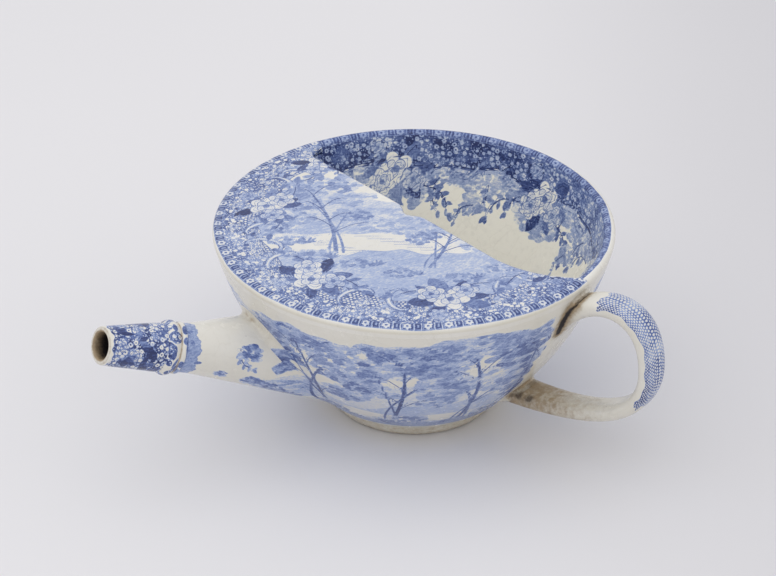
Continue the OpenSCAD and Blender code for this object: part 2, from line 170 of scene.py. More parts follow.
def skin(name, points, loop=False, place=None, drawing=None, stain_shade_and_mask=(0.0, 0.0, 0.0)):
    """Closed mesh over a grid of points in mm, rows by columns. The last column joins the first. With loop
    the last row joins the first too; otherwise a fan to the middle of the end rows closes both ends. place
    is the surface's own flat coordinates in mm, with one column (and row) more where the grid joins up.
    drawing holds an engraving's four point values, stain_shade_and_mask the brown and the near-black of real
    stain and of painted shade, and the mask of the cover's far end."""
    rows, cols = points.shape[:2]
    i = np.arange(rows if loop else rows - 1)[:, None]
    j = np.arange(cols)[None, :]
    below, across = (i + 1) % rows, (j + 1) % cols
    quads = np.stack([i * cols + j, i * cols + across, below * cols + across, below * cols + j], -1)
    quads = quads.reshape(-1, 4)
    co = points.reshape(-1, 3)
    v, w = np.meshgrid(np.arange(rows + 1), np.arange(cols + 1), indexing="ij")
    bake = BAKE_MARGIN + np.stack([BAKE_SPAN * w / cols, BAKE_SPAN * (v + 1) / (rows + 1)], -1)
    if place is None:
        place = np.stack([w, v], -1).astype(float)
    if place.shape[0] == rows:
        place = np.concatenate([place, place[-1:]])
    ii, jj = np.broadcast_arrays(i, j)
    corners = ((0, 0), (0, 1), (1, 1), (1, 0))
    flat = [np.stack([m[ii + a, jj + b] for a, b in corners], 2).reshape(-1, 2) for m in (bake, place)]
    total = np.full(len(quads), 4)
    loops = quads.reshape(-1)
    if not loop:
        hubs, fans, ends = end_fans(points, (bake, place))
        co = np.vstack([co, *hubs])
        loops = np.concatenate([loops, *(fan.reshape(-1) for fan in fans)])
        total = np.concatenate([total, np.full(2 * cols, 3)])
        flat = [np.vstack([f, *end]) for f, end in zip(flat, ends)]
    a, b, c, d = (co[quads[:, n]] for n in range(4))
    volume = (a * np.cross(b, c)).sum() + (a * np.cross(c, d)).sum()
    starts = np.concatenate([[0], np.cumsum(total)[:-1]])
    if volume < 0:
        start, size = np.repeat(starts, total), np.repeat(total, total)
        back = start + size - 1 - (np.arange(len(loops)) - start)
        loops = loops[back]
        flat = [f[back] for f in flat]
    mesh = bpy.data.meshes.new(name)
    mesh.vertices.add(len(co))
    mesh.vertices.foreach_set("co", (co * MM).astype(np.float32).ravel())
    mesh.loops.add(len(loops))
    mesh.loops.foreach_set("vertex_index", loops.astype(np.int32))
    mesh.polygons.add(len(total))
    mesh.polygons.foreach_set("loop_start", starts.astype(np.int32))
    mesh.polygons.foreach_set("use_smooth", np.ones(len(total), bool))
    for title, f in zip(("OFBake", "Place"), flat):
        mesh.uv_layers.new(name=title).uv.foreach_set("vector", f.astype(np.float32).ravel())
    for title, values in (("drawing", drawing), ("stain_shade_and_mask", (*stain_shade_and_mask, 0.0))):
        if values is None:
            continue
        full = np.zeros((len(co), 4), np.float32)
        grid = np.stack([np.broadcast_to(value, (rows, cols)).astype(np.float32) for value in values], -1)
        full[:rows * cols] = grid.reshape(-1, 4)
        if not loop:
            full[-2], full[-1] = grid[0].mean(0), grid[-1].mean(0)
        mesh.attributes.new(title, "FLOAT_COLOR", "POINT").data.foreach_set("color", full.ravel())
    mesh.update(calc_edges=True)
    mesh.validate()
    piece = bpy.data.objects.new(name, mesh)
    bpy.context.scene.collection.objects.link(piece)
    return piece


def seat(piece, slot, material, *nodes):
    """Sets a finished piece on the part: its finish and the solids that it stands for. slot is not used."""
    piece.data.materials.append(material)
    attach(piece, "root")
    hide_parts(*nodes)


def bezier(p, t):
    """Cubic curve drawn by four control points, and its unit direction."""
    t = np.asarray(t)[:, None]
    p = np.asarray(p, float)
    at = (1 - t) ** 3 * p[0] + 3 * t * (1 - t) ** 2 * p[1] + 3 * t * t * (1 - t) * p[2] + t ** 3 * p[3]
    go = (1 - t) ** 2 * (p[1] - p[0]) + 2 * t * (1 - t) * (p[2] - p[1]) + t * t * (p[3] - p[2])
    return at, go / np.linalg.norm(go, axis=1)[:, None]


def along(path):
    """Length run along a row of points."""
    return np.concatenate([[0], np.cumsum(np.linalg.norm(np.diff(path, axis=0), axis=-1))])


# Engraved drawings carried by the points
def to_path(path, x, y):
    """Each point's offsets from every piece of a path, the share run along each piece, and the pieces."""
    a, ab = path[:-1], np.diff(path, axis=0)
    px, py = x[:, None] - a[:, 0], y[:, None] - a[:, 1]
    f = np.clip((px * ab[:, 0] + py * ab[:, 1]) / (ab ** 2).sum(1), 0, 1)
    return px - f * ab[:, 0], py - f * ab[:, 1], f, ab


class Engraving:
    """A drawing on a flat layout of the surface. Every point holds its signed distance in mm to the nearest
    drawn edge, the tone inside and outside of that edge, and the weight of the line along it. Tones above 1
    stand for the lace and diaper grounds. around is the length after which the layout repeats."""

    def __init__(self, x, y, around=None):
        x, y = np.broadcast_arrays(x, y)
        self.x, self.y, self.around = x.ravel(), y.ravel(), around
        self.shape = x.shape
        self.edge, self.inner, self.outer, self.line = (np.full(self.x.size, value) for value in BARE)

    def near(self, at, reach):
        """Points within reach of a place, and their offsets from it."""
        dx, dy = self.x - at[0], self.y - at[1]
        if self.around:
            dx = (dx + self.around / 2) % self.around - self.around / 2
        k = np.nonzero(dx * dx + dy * dy < (reach + EDGE_REACH) ** 2)[0]
        return k, dx[k], dy[k]

    def cut(self, k, edge, tone, line):
        """Lays a shape over what is drawn already: inside it everywhere, outside it where its edge is
        nearer."""
        old = self.edge[k]
        under = np.where(old > 0, self.inner[k], self.outer[k])
        take = (edge >= 0) | ((np.abs(edge) < np.abs(old)) & (edge > -EDGE_REACH))
        k = k[take]
        self.edge[k], self.outer[k], self.line[k] = edge[take], under[take], line
        self.inner[k] = tone

    def lay(self, form, at, reach, turn, tone, line):
        """One motif at a place, turned: form gives the signed distance in the motif's own axes."""
        k, dx, dy = self.near(at, reach)
        c, s = np.cos(turn), np.sin(turn)
        if k.size:
            self.cut(k, form(dx * c + dy * s, dy * c - dx * s), tone, line)

    def wash(self, edge, tone, line=0.0):
        """A region over the whole layout, given by its signed distance."""
        self.cut(np.arange(self.x.size), edge.ravel(), tone, line)

    def thread(self, path, line):
        """A fine line along a path: the two sides keep their tone, and the edge between them is drawn."""
        path = np.asarray(path, float)
        mid = path.mean(0)
        k, dx, dy = self.near(mid, np.linalg.norm(path - mid, axis=1).max())
        if not k.size:
            return
        ox, oy, f, ab = to_path(path - mid, dx, dy)
        gap = np.hypot(ox, oy)
        best = gap.argmin(1)
        m = np.arange(len(k))
        side = np.sign(ab[best, 0] * oy[m, best] - ab[best, 1] * ox[m, best])
        spot = (best + f[m, best]) / len(ab)
        old = self.edge[k]
        under = np.where(old > 0, self.inner[k], self.outer[k])
        take = (gap[m, best] < np.minimum(np.abs(old) + 0.25, 1.2)) & (spot > 0) & (spot < 1)
        k = k[take]
        self.edge[k] = gap[m, best][take] * side[take]
        self.inner[k] = self.outer[k] = under[take]
        self.line[k] = line * np.clip(6 * (1 - spot[take]), 0.25, 1)

    def marks(self):
        """The four point values as the ink nodes read them. Away from its edge a point has one tone and no
        line, so that nothing shows where the reach of one motif ends."""
        away = np.abs(self.edge) > ONE_TONE
        tone = np.where(self.edge > 0, self.inner, self.outer)
        values = (self.edge, np.where(away, tone, self.inner), np.where(away, tone, self.outer),
                  np.where(away, 0.0, self.line))
        return [v.reshape(self.shape) for v in values]


def leaf(length, width):
    """Pointed leaf from its stalk along x: where two equal circles overlap."""
    r = (length ** 2 + width ** 2) / (4 * width)
    return lambda x, y: r - np.hypot(x - length / 2, np.abs(y) + r - width / 2)


def disc(r):
    """Round spot: radius less distance."""
    return lambda x, y: r - np.hypot(x, y)


def oval(a, b):
    """Oval spot: one less the scaled distance, times the short half-width."""
    return lambda x, y: (1 - np.hypot(x / a, y / b)) * min(a, b)


def ribbon(path, half):
    """Stroke of changing width along a path: half-width less distance, largest over the path's pieces."""
    def form(x, y):
        ox, oy, f, _ = to_path(path, x, y)
        return (half[:-1] + f * np.diff(half) - np.hypot(ox, oy)).max(1)
    return form


def cluster(spots, flat):
    """Several round spots, flattened, grown together: the largest of their signed distances."""
    def form(x, y):
        return (spots[:, 2] - np.hypot(x[:, None] - spots[:, 0], flat * (y[:, None] - spots[:, 1]))).max(1)
    return form


def turned(x, y, turn):
    """Offsets turned about the origin."""
    return x * np.cos(turn) - y * np.sin(turn), x * np.sin(turn) + y * np.cos(turn)


def round_at(r, a):
    """Place at distance r and turn a from the origin."""
    return np.array([r * np.cos(a), r * np.sin(a)])


def blossom(art, at, r, turn, petals, tone, line=0.55):
    """Open flower: a ring of round petals, a smaller ring over it and a dark eye."""
    for ring, count, size, shade in ((0.62, petals, 0.46, tone), (0.3, petals - 1, 0.34, tone + 0.06)):
        for n in range(count):
            a = turn + TURN * (n + 0.5 * (ring < 0.5)) / count
            art.lay(oval(r * size, r * size * 0.86), at + round_at(r * ring, a), r, a, shade, line)
    art.lay(disc(r * 0.2), at, r, 0, 0.62, 0.5)


def spray(art, at, turn, size, hand, seed, tone):
    """Leafy sprig: a bowed stem, leaves set alternately along it, a bud at the tip."""
    rng = np.random.default_rng(seed)
    t = np.linspace(0, 1, 9)
    bow = hand * 0.22 * size * np.sin(np.pi * t)
    stem = np.stack(turned(t * size, bow, turn), -1) + at
    for n in range(1, 9):
        side = 1 if n % 2 else -1
        length = size * (0.34 - 0.02 * n) * rng.uniform(0.85, 1.15)
        form = leaf(length, length * rng.uniform(0.36, 0.5))
        out = turn + side * rng.uniform(0.6, 1.0) + 0.3 * hand * (1 - n / 4)
        art.lay(form, stem[n], length, out, tone * rng.uniform(0.7, 1.05), 0.4)
    art.lay(leaf(size * 0.26, size * 0.11), stem[-1], size * 0.3, turn - 0.3 * hand, tone, 0.4)
    art.thread(stem, 0.9)


def scroll(art, at, turn, size, hand, tone):
    """Leafy C scroll: a path whose bend grows towards both ends, so that they curl in; pointed leaves along
    its back, a pale line along its heart."""
    u = np.linspace(-1, 1, 37)
    bend = np.cumsum(1.3 + 9.0 * u ** 4) * (u[1] - u[0])
    bend = hand * (bend - bend[18])
    path = np.stack([np.cumsum(np.cos(bend)), np.cumsum(np.sin(bend))], -1)
    path = (path - path.mean(0)) * size / np.ptp(path, axis=0).max()
    path = np.stack(turned(path[:, 0], path[:, 1], turn), -1)
    for n in range(8, 30, 4):
        out = turn + bend[n] - hand * (np.pi / 2 + 0.5 - 0.05 * n)
        art.lay(leaf(size * 0.3, size * 0.12), path[n] + at, size * 0.3, out, tone * 0.75, 0.45)
    swell = np.cos(np.pi / 2 * u)
    art.lay(ribbon(path, size * (0.025 + 0.055 * swell ** 0.7)), at, size, 0, tone, 0.7)
    art.lay(ribbon(path[3:-3], size * 0.028 * swell[3:-3]), at, size, 0, tone * 0.3, 0.0)
    for end in (0, -1):
        art.lay(disc(size * 0.07), path[end] + at, size * 0.1, 0, 0.75, 0.4)


def thicket(art, at, w, h, tone, seed):
    """Mass of leaves: round spots scattered in an oval, paler behind and above, darker in front and
    below."""
    rng = np.random.default_rng(seed)
    size = np.sqrt(w * h)
    for lift, wide, shade, n in ((0.06, 1.0, 0.5, 34), (-0.05, 0.92, 0.85, 26), (-0.14, 0.78, 1.3, 15)):
        a, r = rng.uniform(0, TURN, n), np.sqrt(rng.uniform(0, 1, n)) * 0.45 * wide
        x, y = w * r * np.cos(a), h * (r * np.sin(a) + lift)
        spots = np.stack([x, y, size * rng.uniform(0.06, 0.125, n)], -1)
        art.lay(cluster(spots, 1.55), at, max(w, h) * 0.8, 0, min(tone * shade, 0.9), 0.1)


def thickets(art, places, w, h, tone, seed):
    """A row of thickets of one size, each with the next seed."""
    for n, at in enumerate(places):
        thicket(art, at, w, h, tone, seed + n)


def tree(art, foot, height, lean, wide, tone, seed):
    """Tree: a tapering bowed trunk, forked fine branches, masses of leaves round their tips."""
    rng = np.random.default_rng(seed)
    t = np.linspace(0, 1, 10)
    trunk = np.stack([foot[0] + lean * t + 0.06 * height * np.sin(2.6 * t), foot[1] + height * 0.8 * t], -1)
    tips = [trunk[-1] + (0, height * 0.1)]
    limbs = []
    f = np.linspace(0, 1, 6)[:, None]
    for n in range(3, 10):
        side = 1 if n % 2 else -1
        reach = wide * rng.uniform(0.3, 0.5) * (1.15 - n / 14)
        go = np.array([side * reach, height * rng.uniform(0.08, 0.2)])
        limbs.append(trunk[n] + go * f + np.array([0, 0.05 * height]) * np.sin(np.pi * f))
        tips.append(limbs[-1][-1])
    for k, tip in enumerate(tips):
        w, h = wide * rng.uniform(0.4, 0.56), height * rng.uniform(0.2, 0.28)
        thicket(art, tip, w, h, tone * rng.uniform(0.75, 1.15), seed * 17 + k)

    def stroke(path, thick, thin, ink):
        """A stem that tapers along its path."""
        least = 0.08 if path is trunk else 0.05
        form = ribbon(path - path[0], np.linspace(thick, thin, 10) * height + least)
        art.lay(form, path[0], height, 0, ink, 0.4)

    stroke(trunk, 0.013, 0.004, min(tone * 1.7, 0.85))
    for n, side in ((2, -1), (3, 1)):
        foot_at = trunk[0] + (side * 0.05 * height, 0)
        stem = foot_at + (limbs[n][-1] - trunk[0]) * t[:, None] ** np.array([1.6, 0.9])
        stroke(stem, 0.007, 0.003, min(tone * 1.5, 0.8))
    for limb in limbs:
        art.thread(limb, 0.8)


def tuft(art, at, size, tone, seed):
    """Tuft of grass: a fan of narrow leaves from one foot."""
    rng = np.random.default_rng(seed)
    for a in np.linspace(0.5, 2.6, 6) + rng.uniform(-0.15, 0.15, 6):
        length = size * rng.uniform(0.7, 1.15)
        art.lay(leaf(length, length * 0.2), at, length, a, tone * rng.uniform(0.75, 1.1), 0.2)


def posy(art, at, size, turn, seed, tone):
    """Posy: dark leaves fanned out behind, pale open flowers over them, small buds at the sides."""
    rng = np.random.default_rng(seed)
    for a in turn + np.array([-2.3, -1.5, -0.75, 0.1, 0.8, 1.6, 2.4]):
        length = size * rng.uniform(0.85, 1.15)
        stalk = at + round_at(0.35 * size, a)
        form = leaf(length, length * rng.uniform(0.4, 0.55))
        art.lay(form, stalk, length, a + rng.uniform(-0.3, 0.3), tone * rng.uniform(0.6, 1.1), 0.5)
        art.thread(stalk + np.stack(round_at(np.linspace(0, 0.8, 4) * length, a), -1), 0.7)
    flowers = ((0.0, 0.0, 0.62), (0.72, turn + 0.9, 0.48), (0.74, turn - 1.0, 0.44),
               (1.05, turn + 2.5, 0.32))
    for k, (away, a, r) in enumerate(flowers):
        blossom(art, at + round_at(away * size, a), size * r, a + k, 5 + k % 2, 0.08 + 0.05 * k)


# Finishes
def tint(r, g, b):
    """A display colour, 0 to 255, as the linear colour that the nodes take."""
    c = np.array([r, g, b]) / 255
    return (*np.where(c <= 0.04045, c / 12.92, ((c + 0.055) / 1.055) ** 2.4), 1.0)


class Wire:
    """A node's output that can be reckoned with: every sign lays a math node."""

    def __init__(self, bench, socket):
        self.bench, self.socket = bench, socket

    def __add__(self, other):
        return self.bench.math("ADD", self, other)

    def __sub__(self, other):
        return self.bench.math("SUBTRACT", self, other)

    def __rsub__(self, other):
        return self.bench.math("SUBTRACT", other, self)

    def __mul__(self, other):
        return self.bench.math("MULTIPLY", self, other)

    def __truediv__(self, other):
        return self.bench.math("DIVIDE", self, other)

    def __abs__(self):
        return self.bench.math("ABSOLUTE", self)

    def held(self):
        """The same output, held between 0 and 1 by its own node."""
        self.socket.node.use_clamp = True
        return self


class Bench:
    """Lays nodes into one tree. Each call adds a node, plugs its sockets and hands back its output."""

    def __init__(self, tree):
        self.tree = tree

    def add(self, kind, **settings):
        node = self.tree.nodes.new(kind)
        for key, value in settings.items():
            setattr(node, key, value)
        return node

    def plug(self, socket, value):
        if isinstance(value, Wire):
            self.tree.links.new(value.socket, socket)
        else:
            socket.default_value = value

    def fill(self, node, values, out=0):
        """Plugs sockets by name or number and hands back one output."""
        for key, value in values.items():
            self.plug(node.inputs[key], value)
        return Wire(self, node.outputs[out])

    def read(self, kind, out, **settings):
        return Wire(self, self.add(kind, **settings).outputs[out])

    def math(self, operation, *values):
        return self.fill(self.add("ShaderNodeMath", operation=operation), dict(enumerate(values)))

    def moved(self, vector, by):
        return self.fill(self.add("ShaderNodeVectorMath", operation="ADD"), {0: vector, 1: by})

    def scaled(self, vector, by):
        return self.fill(self.add("ShaderNodeVectorMath", operation="SCALE"), {0: vector, "Scale": by})

    def ease(self, x, low, high, a=0.0, b=1.0):
        node = self.add("ShaderNodeMapRange", interpolation_type="SMOOTHSTEP")
        return self.fill(node, dict(enumerate((x, low, high, a, b))))

    def mix(self, factor, a, b):
        node = self.add("ShaderNodeMix", data_type="RGBA", blend_type="MIX", clamp_factor=True)
        return self.fill(node, {0: factor, 6: a, 7: b}, 2)

    def blend(self, factor, a, b):
        node = self.add("ShaderNodeMix", data_type="FLOAT", clamp_factor=True)
        return self.fill(node, {0: factor, 2: a, 3: b})

    def noise(self, vector, scale, detail=2.0, rough=0.5, out=0):
        values = {"Vector": vector, "Scale": scale, "Detail": detail, "Roughness": rough}
        return self.fill(self.add("ShaderNodeTexNoise"), values, out)

    def cells(self, vector, scale, feature="F1", loose=1.0):
        node = self.add("ShaderNodeTexVoronoi", feature=feature)
        return self.fill(node, {"Vector": vector, "Scale": scale, "Randomness": loose}, "Distance")

    def ramp(self, x, stops):
        node = self.add("ShaderNodeValToRGB")
        marks = node.color_ramp.elements
        marks[0].position, marks[0].color = stops[0]
        marks[1].position, marks[1].color = stops[-1]
        for at, colour in stops[1:-1]:
            marks.new(at).color = colour
        return self.fill(node, {0: x})

    def split(self, vector):
        node = self.add("ShaderNodeSeparateXYZ")
        self.plug(node.inputs[0], vector)
        return [Wire(self, socket) for socket in node.outputs]

    def join(self, x, y, z=0.0):
        return self.fill(self.add("ShaderNodeCombineXYZ"), {0: x, 1: y, 2: z})

    def use(self, tree, **values):
        node = self.add("ShaderNodeGroup", node_tree=tree)
        for title, value in values.items():
            self.plug(node.inputs[title], value)
        return {socket.name: Wire(self, socket) for socket in node.outputs}


def shared(name, gives, **takes):
    """Turns a function that lays nodes into a node group that several finishes use. takes are the group's
    inputs, each with its value, or with its kind where it is always plugged; gives are its outputs. The
    function gets the bench and the inputs, and hands back the outputs, both in this order."""
    def build(lay_nodes):
        tree = bpy.data.node_groups.new(name, "ShaderNodeTree")
        for title, value in takes.items():
            kind = value if isinstance(value, str) else "Color" if isinstance(value, tuple) else "Float"
            socket = tree.interface.new_socket(title, in_out="INPUT", socket_type="NodeSocket" + kind)
            if kind != value:
                socket.default_value = value
        for title in gives:
            kind = "Color" if title == "Color" else "Float"
            tree.interface.new_socket(title, in_out="OUTPUT", socket_type="NodeSocket" + kind)
        b = Bench(tree)
        inlet, outlet = b.add("NodeGroupInput"), b.add("NodeGroupOutput")
        inputs = [Wire(b, inlet.outputs[title]) for title in takes]
        for title, value in zip(gives, lay_nodes(b, *inputs)):
            b.plug(outlet.inputs[title], value)
        return tree

    return build


@shared("Cream glaze", ("Color", "Roughness", "Height"), Place="Vector", Warmth=0.3)
def cream_glaze(b, p, warmth):
    """Cream glaze over pale clay: slow warm and cool drifts, fine mottling, rare dark specks, faint
    crazing."""
    drift, mottle = b.noise(p, 0.035, 3, 0.55), b.noise(p, 0.6, 4, 0.6)
    warm = (warmth + (drift - 0.5) * 0.8).held()
    stops = [(0.0, tint(248, 245, 233)), (0.2, tint(231, 229, 223)), (1.0, tint(206, 200, 182))]
    colour = b.mix(b.ease(mottle, 0.45, 0.75, 0, 0.2), b.ramp(warm, stops), tint(206, 203, 193))
    speck = b.ease(b.cells(p, 0.22), 0.035, 0.06, 1, 0) * b.ease(b.noise(p, 0.09, 2), 0.52, 0.6)
    colour = b.mix(speck * 0.7, colour, tint(96, 84, 66))
    bent = b.moved(p, b.scaled(b.join(mottle, drift, mottle), 2.0))
    craze = b.ease(b.cells(bent, 0.16, "DISTANCE_TO_EDGE"), 0.006, 0.02, 1, 0)
    colour = b.mix(craze * 0.07, colour, tint(168, 158, 138))
    rough = b.ease(b.noise(p, 0.25, 4, 0.6), 0.3, 0.75, 0.14, 0.3)
    return colour, rough, b.noise(p, 0.18, 2) + b.noise(p, 1.1, 3) * 0.12


@shared("Cobalt ink", ("Color",), Ground=(1, 1, 1, 1), Tone=0.0, Place="Vector", Strokes="Vector", Grain=0.5)
def cobalt_ink(b, ground, tone, p, strokes, grain):
    """Cobalt ink under the glaze: tone to colour, broken up by short engraved strokes and stipple where it
    is neither bare nor solid, with patches where the transfer took less well."""
    stipple = b.noise(p, 1.7, 3, 0.7) - 0.5
    stroke = b.noise(strokes, 1.0, 3, 0.65) - 0.5
    patch = b.noise(p, 0.1, 3, 0.6) - 0.5
    middle = tone * (1.2 - tone) * 3.6
    shift = (stipple * 0.9 + stroke * 1.3) * middle * grain
    tone = (tone + shift + patch * middle * 0.4).held()
    ink = b.ramp(tone, [(0.0, tint(206, 213, 226)), (0.3, tint(163, 178, 211)), (0.6, tint(103, 123, 174)),
                        (0.85, tint(60, 78, 134)), (1.0, tint(36, 48, 96))])
    return [b.mix(b.ease(tone, 0.0, 0.28), ground, ink)]


@shared("Engraved drawing", ("Tone",), Marks="Color", Line=0.0, Lace=0.5, Diaper=0.5)
def engraved(b, marks, weight, lace, diaper):
    """Turns the points' drawing values into tone: inside or outside the nearest edge, with the line along
    it. Tone 2 is filled with lace, tone 3 with diaper."""
    edge, inner, outer = b.split(marks)
    tones = []
    for t in (inner, outer):
        plain = b.blend(b.math("GREATER_THAN", t, LACE_TONE - 0.5), b.math("MINIMUM", t, 1.0), lace)
        tones.append(b.blend(b.math("GREATER_THAN", t, DIAPER_TONE - 0.5), plain, diaper))
    tone = b.blend(b.ease(edge, -0.07, 0.07), tones[1], tones[0])
    width = b.math("MULTIPLY_ADD", weight, 0.18, 0.04)
    line = b.ease(abs(edge) / width, 0.4, 1.2, 1, 0) * weight
    return [b.math("MAXIMUM", tone, line).held()]


@shared("Lace ground", ("Tone",), Place="Vector", Depth=0.7, Light=0.9)
def lace_ground(b, p, depth, light):
    """Lace ground: small ringed flowers with dark eyes packed on a darker field that comes and goes, sown
    with fine dots."""
    d = b.cells(p, 0.62, loose=0.75) + (b.noise(p, 1.9, 2) - 0.5) * 0.3
    ring = b.ease(d, 0.1, 0.2) * b.ease(d, 0.36, 0.5, 1, 0)
    dots = b.ease(b.cells(p, 1.6, loose=0.8), 0.26, 0.44, 1, 0) * b.ease(d, 0.44, 0.54, 0, 0.85)
    ring = b.math("MAXIMUM", ring, dots) * b.ease(b.noise(p, 0.3, 2), 0.3, 0.5, 0.6, 1)
    depth = depth * b.ease(b.noise(p, 0.16, 3), 0.3, 0.7, 0.72, 1.25)
    return [(depth * (1.0 - ring * light)).held()]


@shared("Daisy edging", ("Tone", "Mask"), Along=0.0, In=0.0, Place="Vector", Pitch=5.4, Width=2.7, Light=0.8)
def daisy_edging(b, along_rim, inward, p, pitch, width, light):
    """Chain edging: daisies with a ring of petals at even steps, hatched grounds and a dark barred block
    between them, a fine pale line on both sides, all a little uneven as in a plate long in use."""
    jx, jy = ((j - 0.5) * 0.7 for j in b.split(b.noise(p, 0.8, out="Color"))[:2])
    x = (b.math("FRACT", (along_rim + jx) / pitch) - 0.5) * pitch
    y = inward + jy * 0.5 - width * 0.5
    r = b.math("SQRT", x * x + y * y) / width
    petal = b.math("COSINE", b.math("ARCTAN2", y, x) * 6.0) * 0.05
    daisy = b.ease(r, 0.1, 0.18) * b.ease(r + petal, 0.36, 0.46, 1, 0)
    gap = pitch * 0.5 - abs(x)
    bar = b.ease(abs(gap - 0.95), 0.1, 0.22, 0.85, 0)
    bud = b.ease(gap, 0.15, 0.3, 0.6, 0) * b.ease(abs(y), 0.5, 0.8, 1, 0)
    hatch = b.ease(b.math("SINE", x * 9.0), -0.2, 0.6, 0.0, 0.5) * b.ease(gap, 1.0, 1.1)
    pale = b.math("MAXIMUM", b.math("MAXIMUM", daisy, hatch), b.math("MAXIMUM", bar, bud))
    rail = abs(abs(y) - width * 0.44)
    pale = b.math("MAXIMUM", pale, b.ease(rail, 0.05, 0.16, 0.5, 0))
    return ((1.0 - pale * light) * 0.86).held(), b.ease(width * 0.5 - abs(y), -0.05, 0.08)


@shared("Scale diaper", ("Tone",), Along=0.0, Across=0.0, Place="Vector", Pitch=1.3, Depth=0.7)
def scale_diaper(b, x, y, p, pitch, depth):
    """Diaper ground: rows of small scales, each with a pale heart, in slightly wandering lines."""
    sway = b.noise(p, 0.3, 2) - 0.5
    x = x / pitch + sway * 0.7
    y = y / (pitch * 0.68) + sway * 0.5
    x = x + b.math("FLOORED_MODULO", b.math("FLOOR", y), 2.0) * 0.5
    u, v = (b.math("FRACT", k) - 0.5 for k in (x, y))
    d = b.math("SQRT", u * u + v * v * 0.8) + (b.noise(p, 1.4, 2) - 0.5) * 0.4
    return [depth * b.ease(d, 0.24, 0.44, 0.12, 1.0)]


@shared("Stain and painted shade", ("Color", "Mask"), Ground=(1, 1, 1, 1), Brown=0.0, Dark=0.0, Place="Vector")
def stain_and_painted_shade(b, ground, brown, dark, p):
    """Old stain in joints, and painted shade: a tea-brown bloom with a ragged edge, and near-black where the
    joint has opened, partly painted shade of the gap. The same brown and near-black also paint the contact
    shadow under the foot and the shade deep in the mouthpiece's bore."""
    ragged = b.noise(p, 0.7, 4, 0.65) - 0.5
    bloom = b.ease(brown + ragged * 1.3, 0.2, 1.0)
    dark = b.ease(dark + ragged * 0.5, 0.3, 0.75)
    rust = b.mix(b.noise(p, 0.5, 4, 0.7), tint(172, 144, 98), tint(92, 64, 38))
    colour = b.mix(bloom * 0.8, b.mix(brown * 0.4, ground, tint(170, 158, 128)), rust)
    return b.mix(dark, colour, tint(28, 22, 24)), b.math("MAXIMUM", bloom * 0.7, dark)


def new_material(name):
    """A material with its bench and its shader."""
    material = bpy.data.materials.new(name)
    material.use_nodes = True
    return material, Bench(material.node_tree), material.node_tree.nodes["Principled BSDF"]


def flat_place(b):
    """The surface's own flat coordinates in mm."""
    return b.read("ShaderNodeUVMap", 0, uv_map="Place")


def stain_and_shade_values(b):
    """The points' brown and near-black, which are stain and painted shade, and their far-end values."""
    return b.split(b.read("ShaderNodeAttribute", "Color", attribute_name="stain_shade_and_mask"))


def upward(b):
    """How far the surface faces up."""
    return b.split(b.read("ShaderNodeNewGeometry", "Normal"))[2]


def finish(name, print_on=None, warmth=0.3, grain=0.5):
    """One glazed finish: cream glaze, the piece's own print laid on it, then the stain of its joints and the
    painted shade of the crack, the foot's tread and the mouthpiece's bore.
    print_on gets the bench, the place and the flat place, all in mm, and hands back the tone and the place
    that the strokes follow."""
    material, b, shader = new_material(name)
    p = b.scaled(b.read("ShaderNodeTexCoord", "Object"), 1 / MM)
    glaze = b.use(cream_glaze, Place=p, Warmth=warmth(b) if callable(warmth) else warmth)
    colour = glaze["Color"]
    if print_on:
        tone, strokes = print_on(b, p, flat_place(b))
        colour = b.use(cobalt_ink, Ground=colour, Tone=tone, Place=p, Strokes=strokes, Grain=grain)["Color"]
    brown, dark, _ = stain_and_shade_values(b)
    stained_and_shaded = b.use(stain_and_painted_shade, Ground=colour, Brown=brown, Dark=dark, Place=p)
    b.plug(shader.inputs["Base Color"], stained_and_shaded["Color"])
    rough = b.math("MULTIPLY_ADD", stained_and_shaded["Mask"], 0.4, glaze["Roughness"]).held()
    b.plug(shader.inputs["Roughness"], rough)
    grain_of_glaze = {"Strength": 0.25, "Distance": 0.4 * MM, "Height": glaze["Height"]}
    b.plug(shader.inputs["Normal"], b.fill(b.add("ShaderNodeBump"), grain_of_glaze))
    return material


def drawn(b, lace, diaper=0.5):
    """Tone of the points' own drawing."""
    outputs = b.add("ShaderNodeAttribute", attribute_name="drawing").outputs
    marks, line = Wire(b, outputs["Color"]), Wire(b, outputs["Alpha"])
    return b.use(engraved, Marks=marks, Line=line, Lace=lace, Diaper=diaper)["Tone"]


def stretched(b, vector, turn, along_mm, across_mm):
    """A place turned about Z and squeezed, so that noise on it makes short strokes of this length and
    width."""
    squeeze = (1 / along_mm, 1 / across_mm, 1 / across_mm)
    node = b.add("ShaderNodeMapping", vector_type="POINT")
    return b.fill(node, {"Vector": vector, "Rotation": (0, 0, turn), "Scale": squeeze})


def bowl_print(b, p, flat):
    """Outside: the drawing alone. Inside: chain edging from the lip, then the drawing on a dark lace
    ground."""
    s, t, _ = b.split(flat)
    depth = t + (b.noise(p, 0.06, 2) - 0.5) * 1.2
    lace_depth = b.ease(b.split(p)[1], -25.0, 40.0, 0.62, 0.86)
    tone = drawn(b, b.use(lace_ground, Place=b.join(s, t), Depth=lace_depth, Light=0.7)["Tone"])
    chain = b.use(daisy_edging, Along=s, In=depth, Place=p, Pitch=5.2, Width=2.5, Light=0.52)
    tone = b.blend(chain["Mask"], tone, chain["Tone"])
    bare = b.math("MAXIMUM", b.ease(depth, -0.1, 0.05), b.ease(t, -4.0, -3.9, 1, 0))
    return tone * bare, stretched(b, flat, 0.0, 1.7, 0.45)


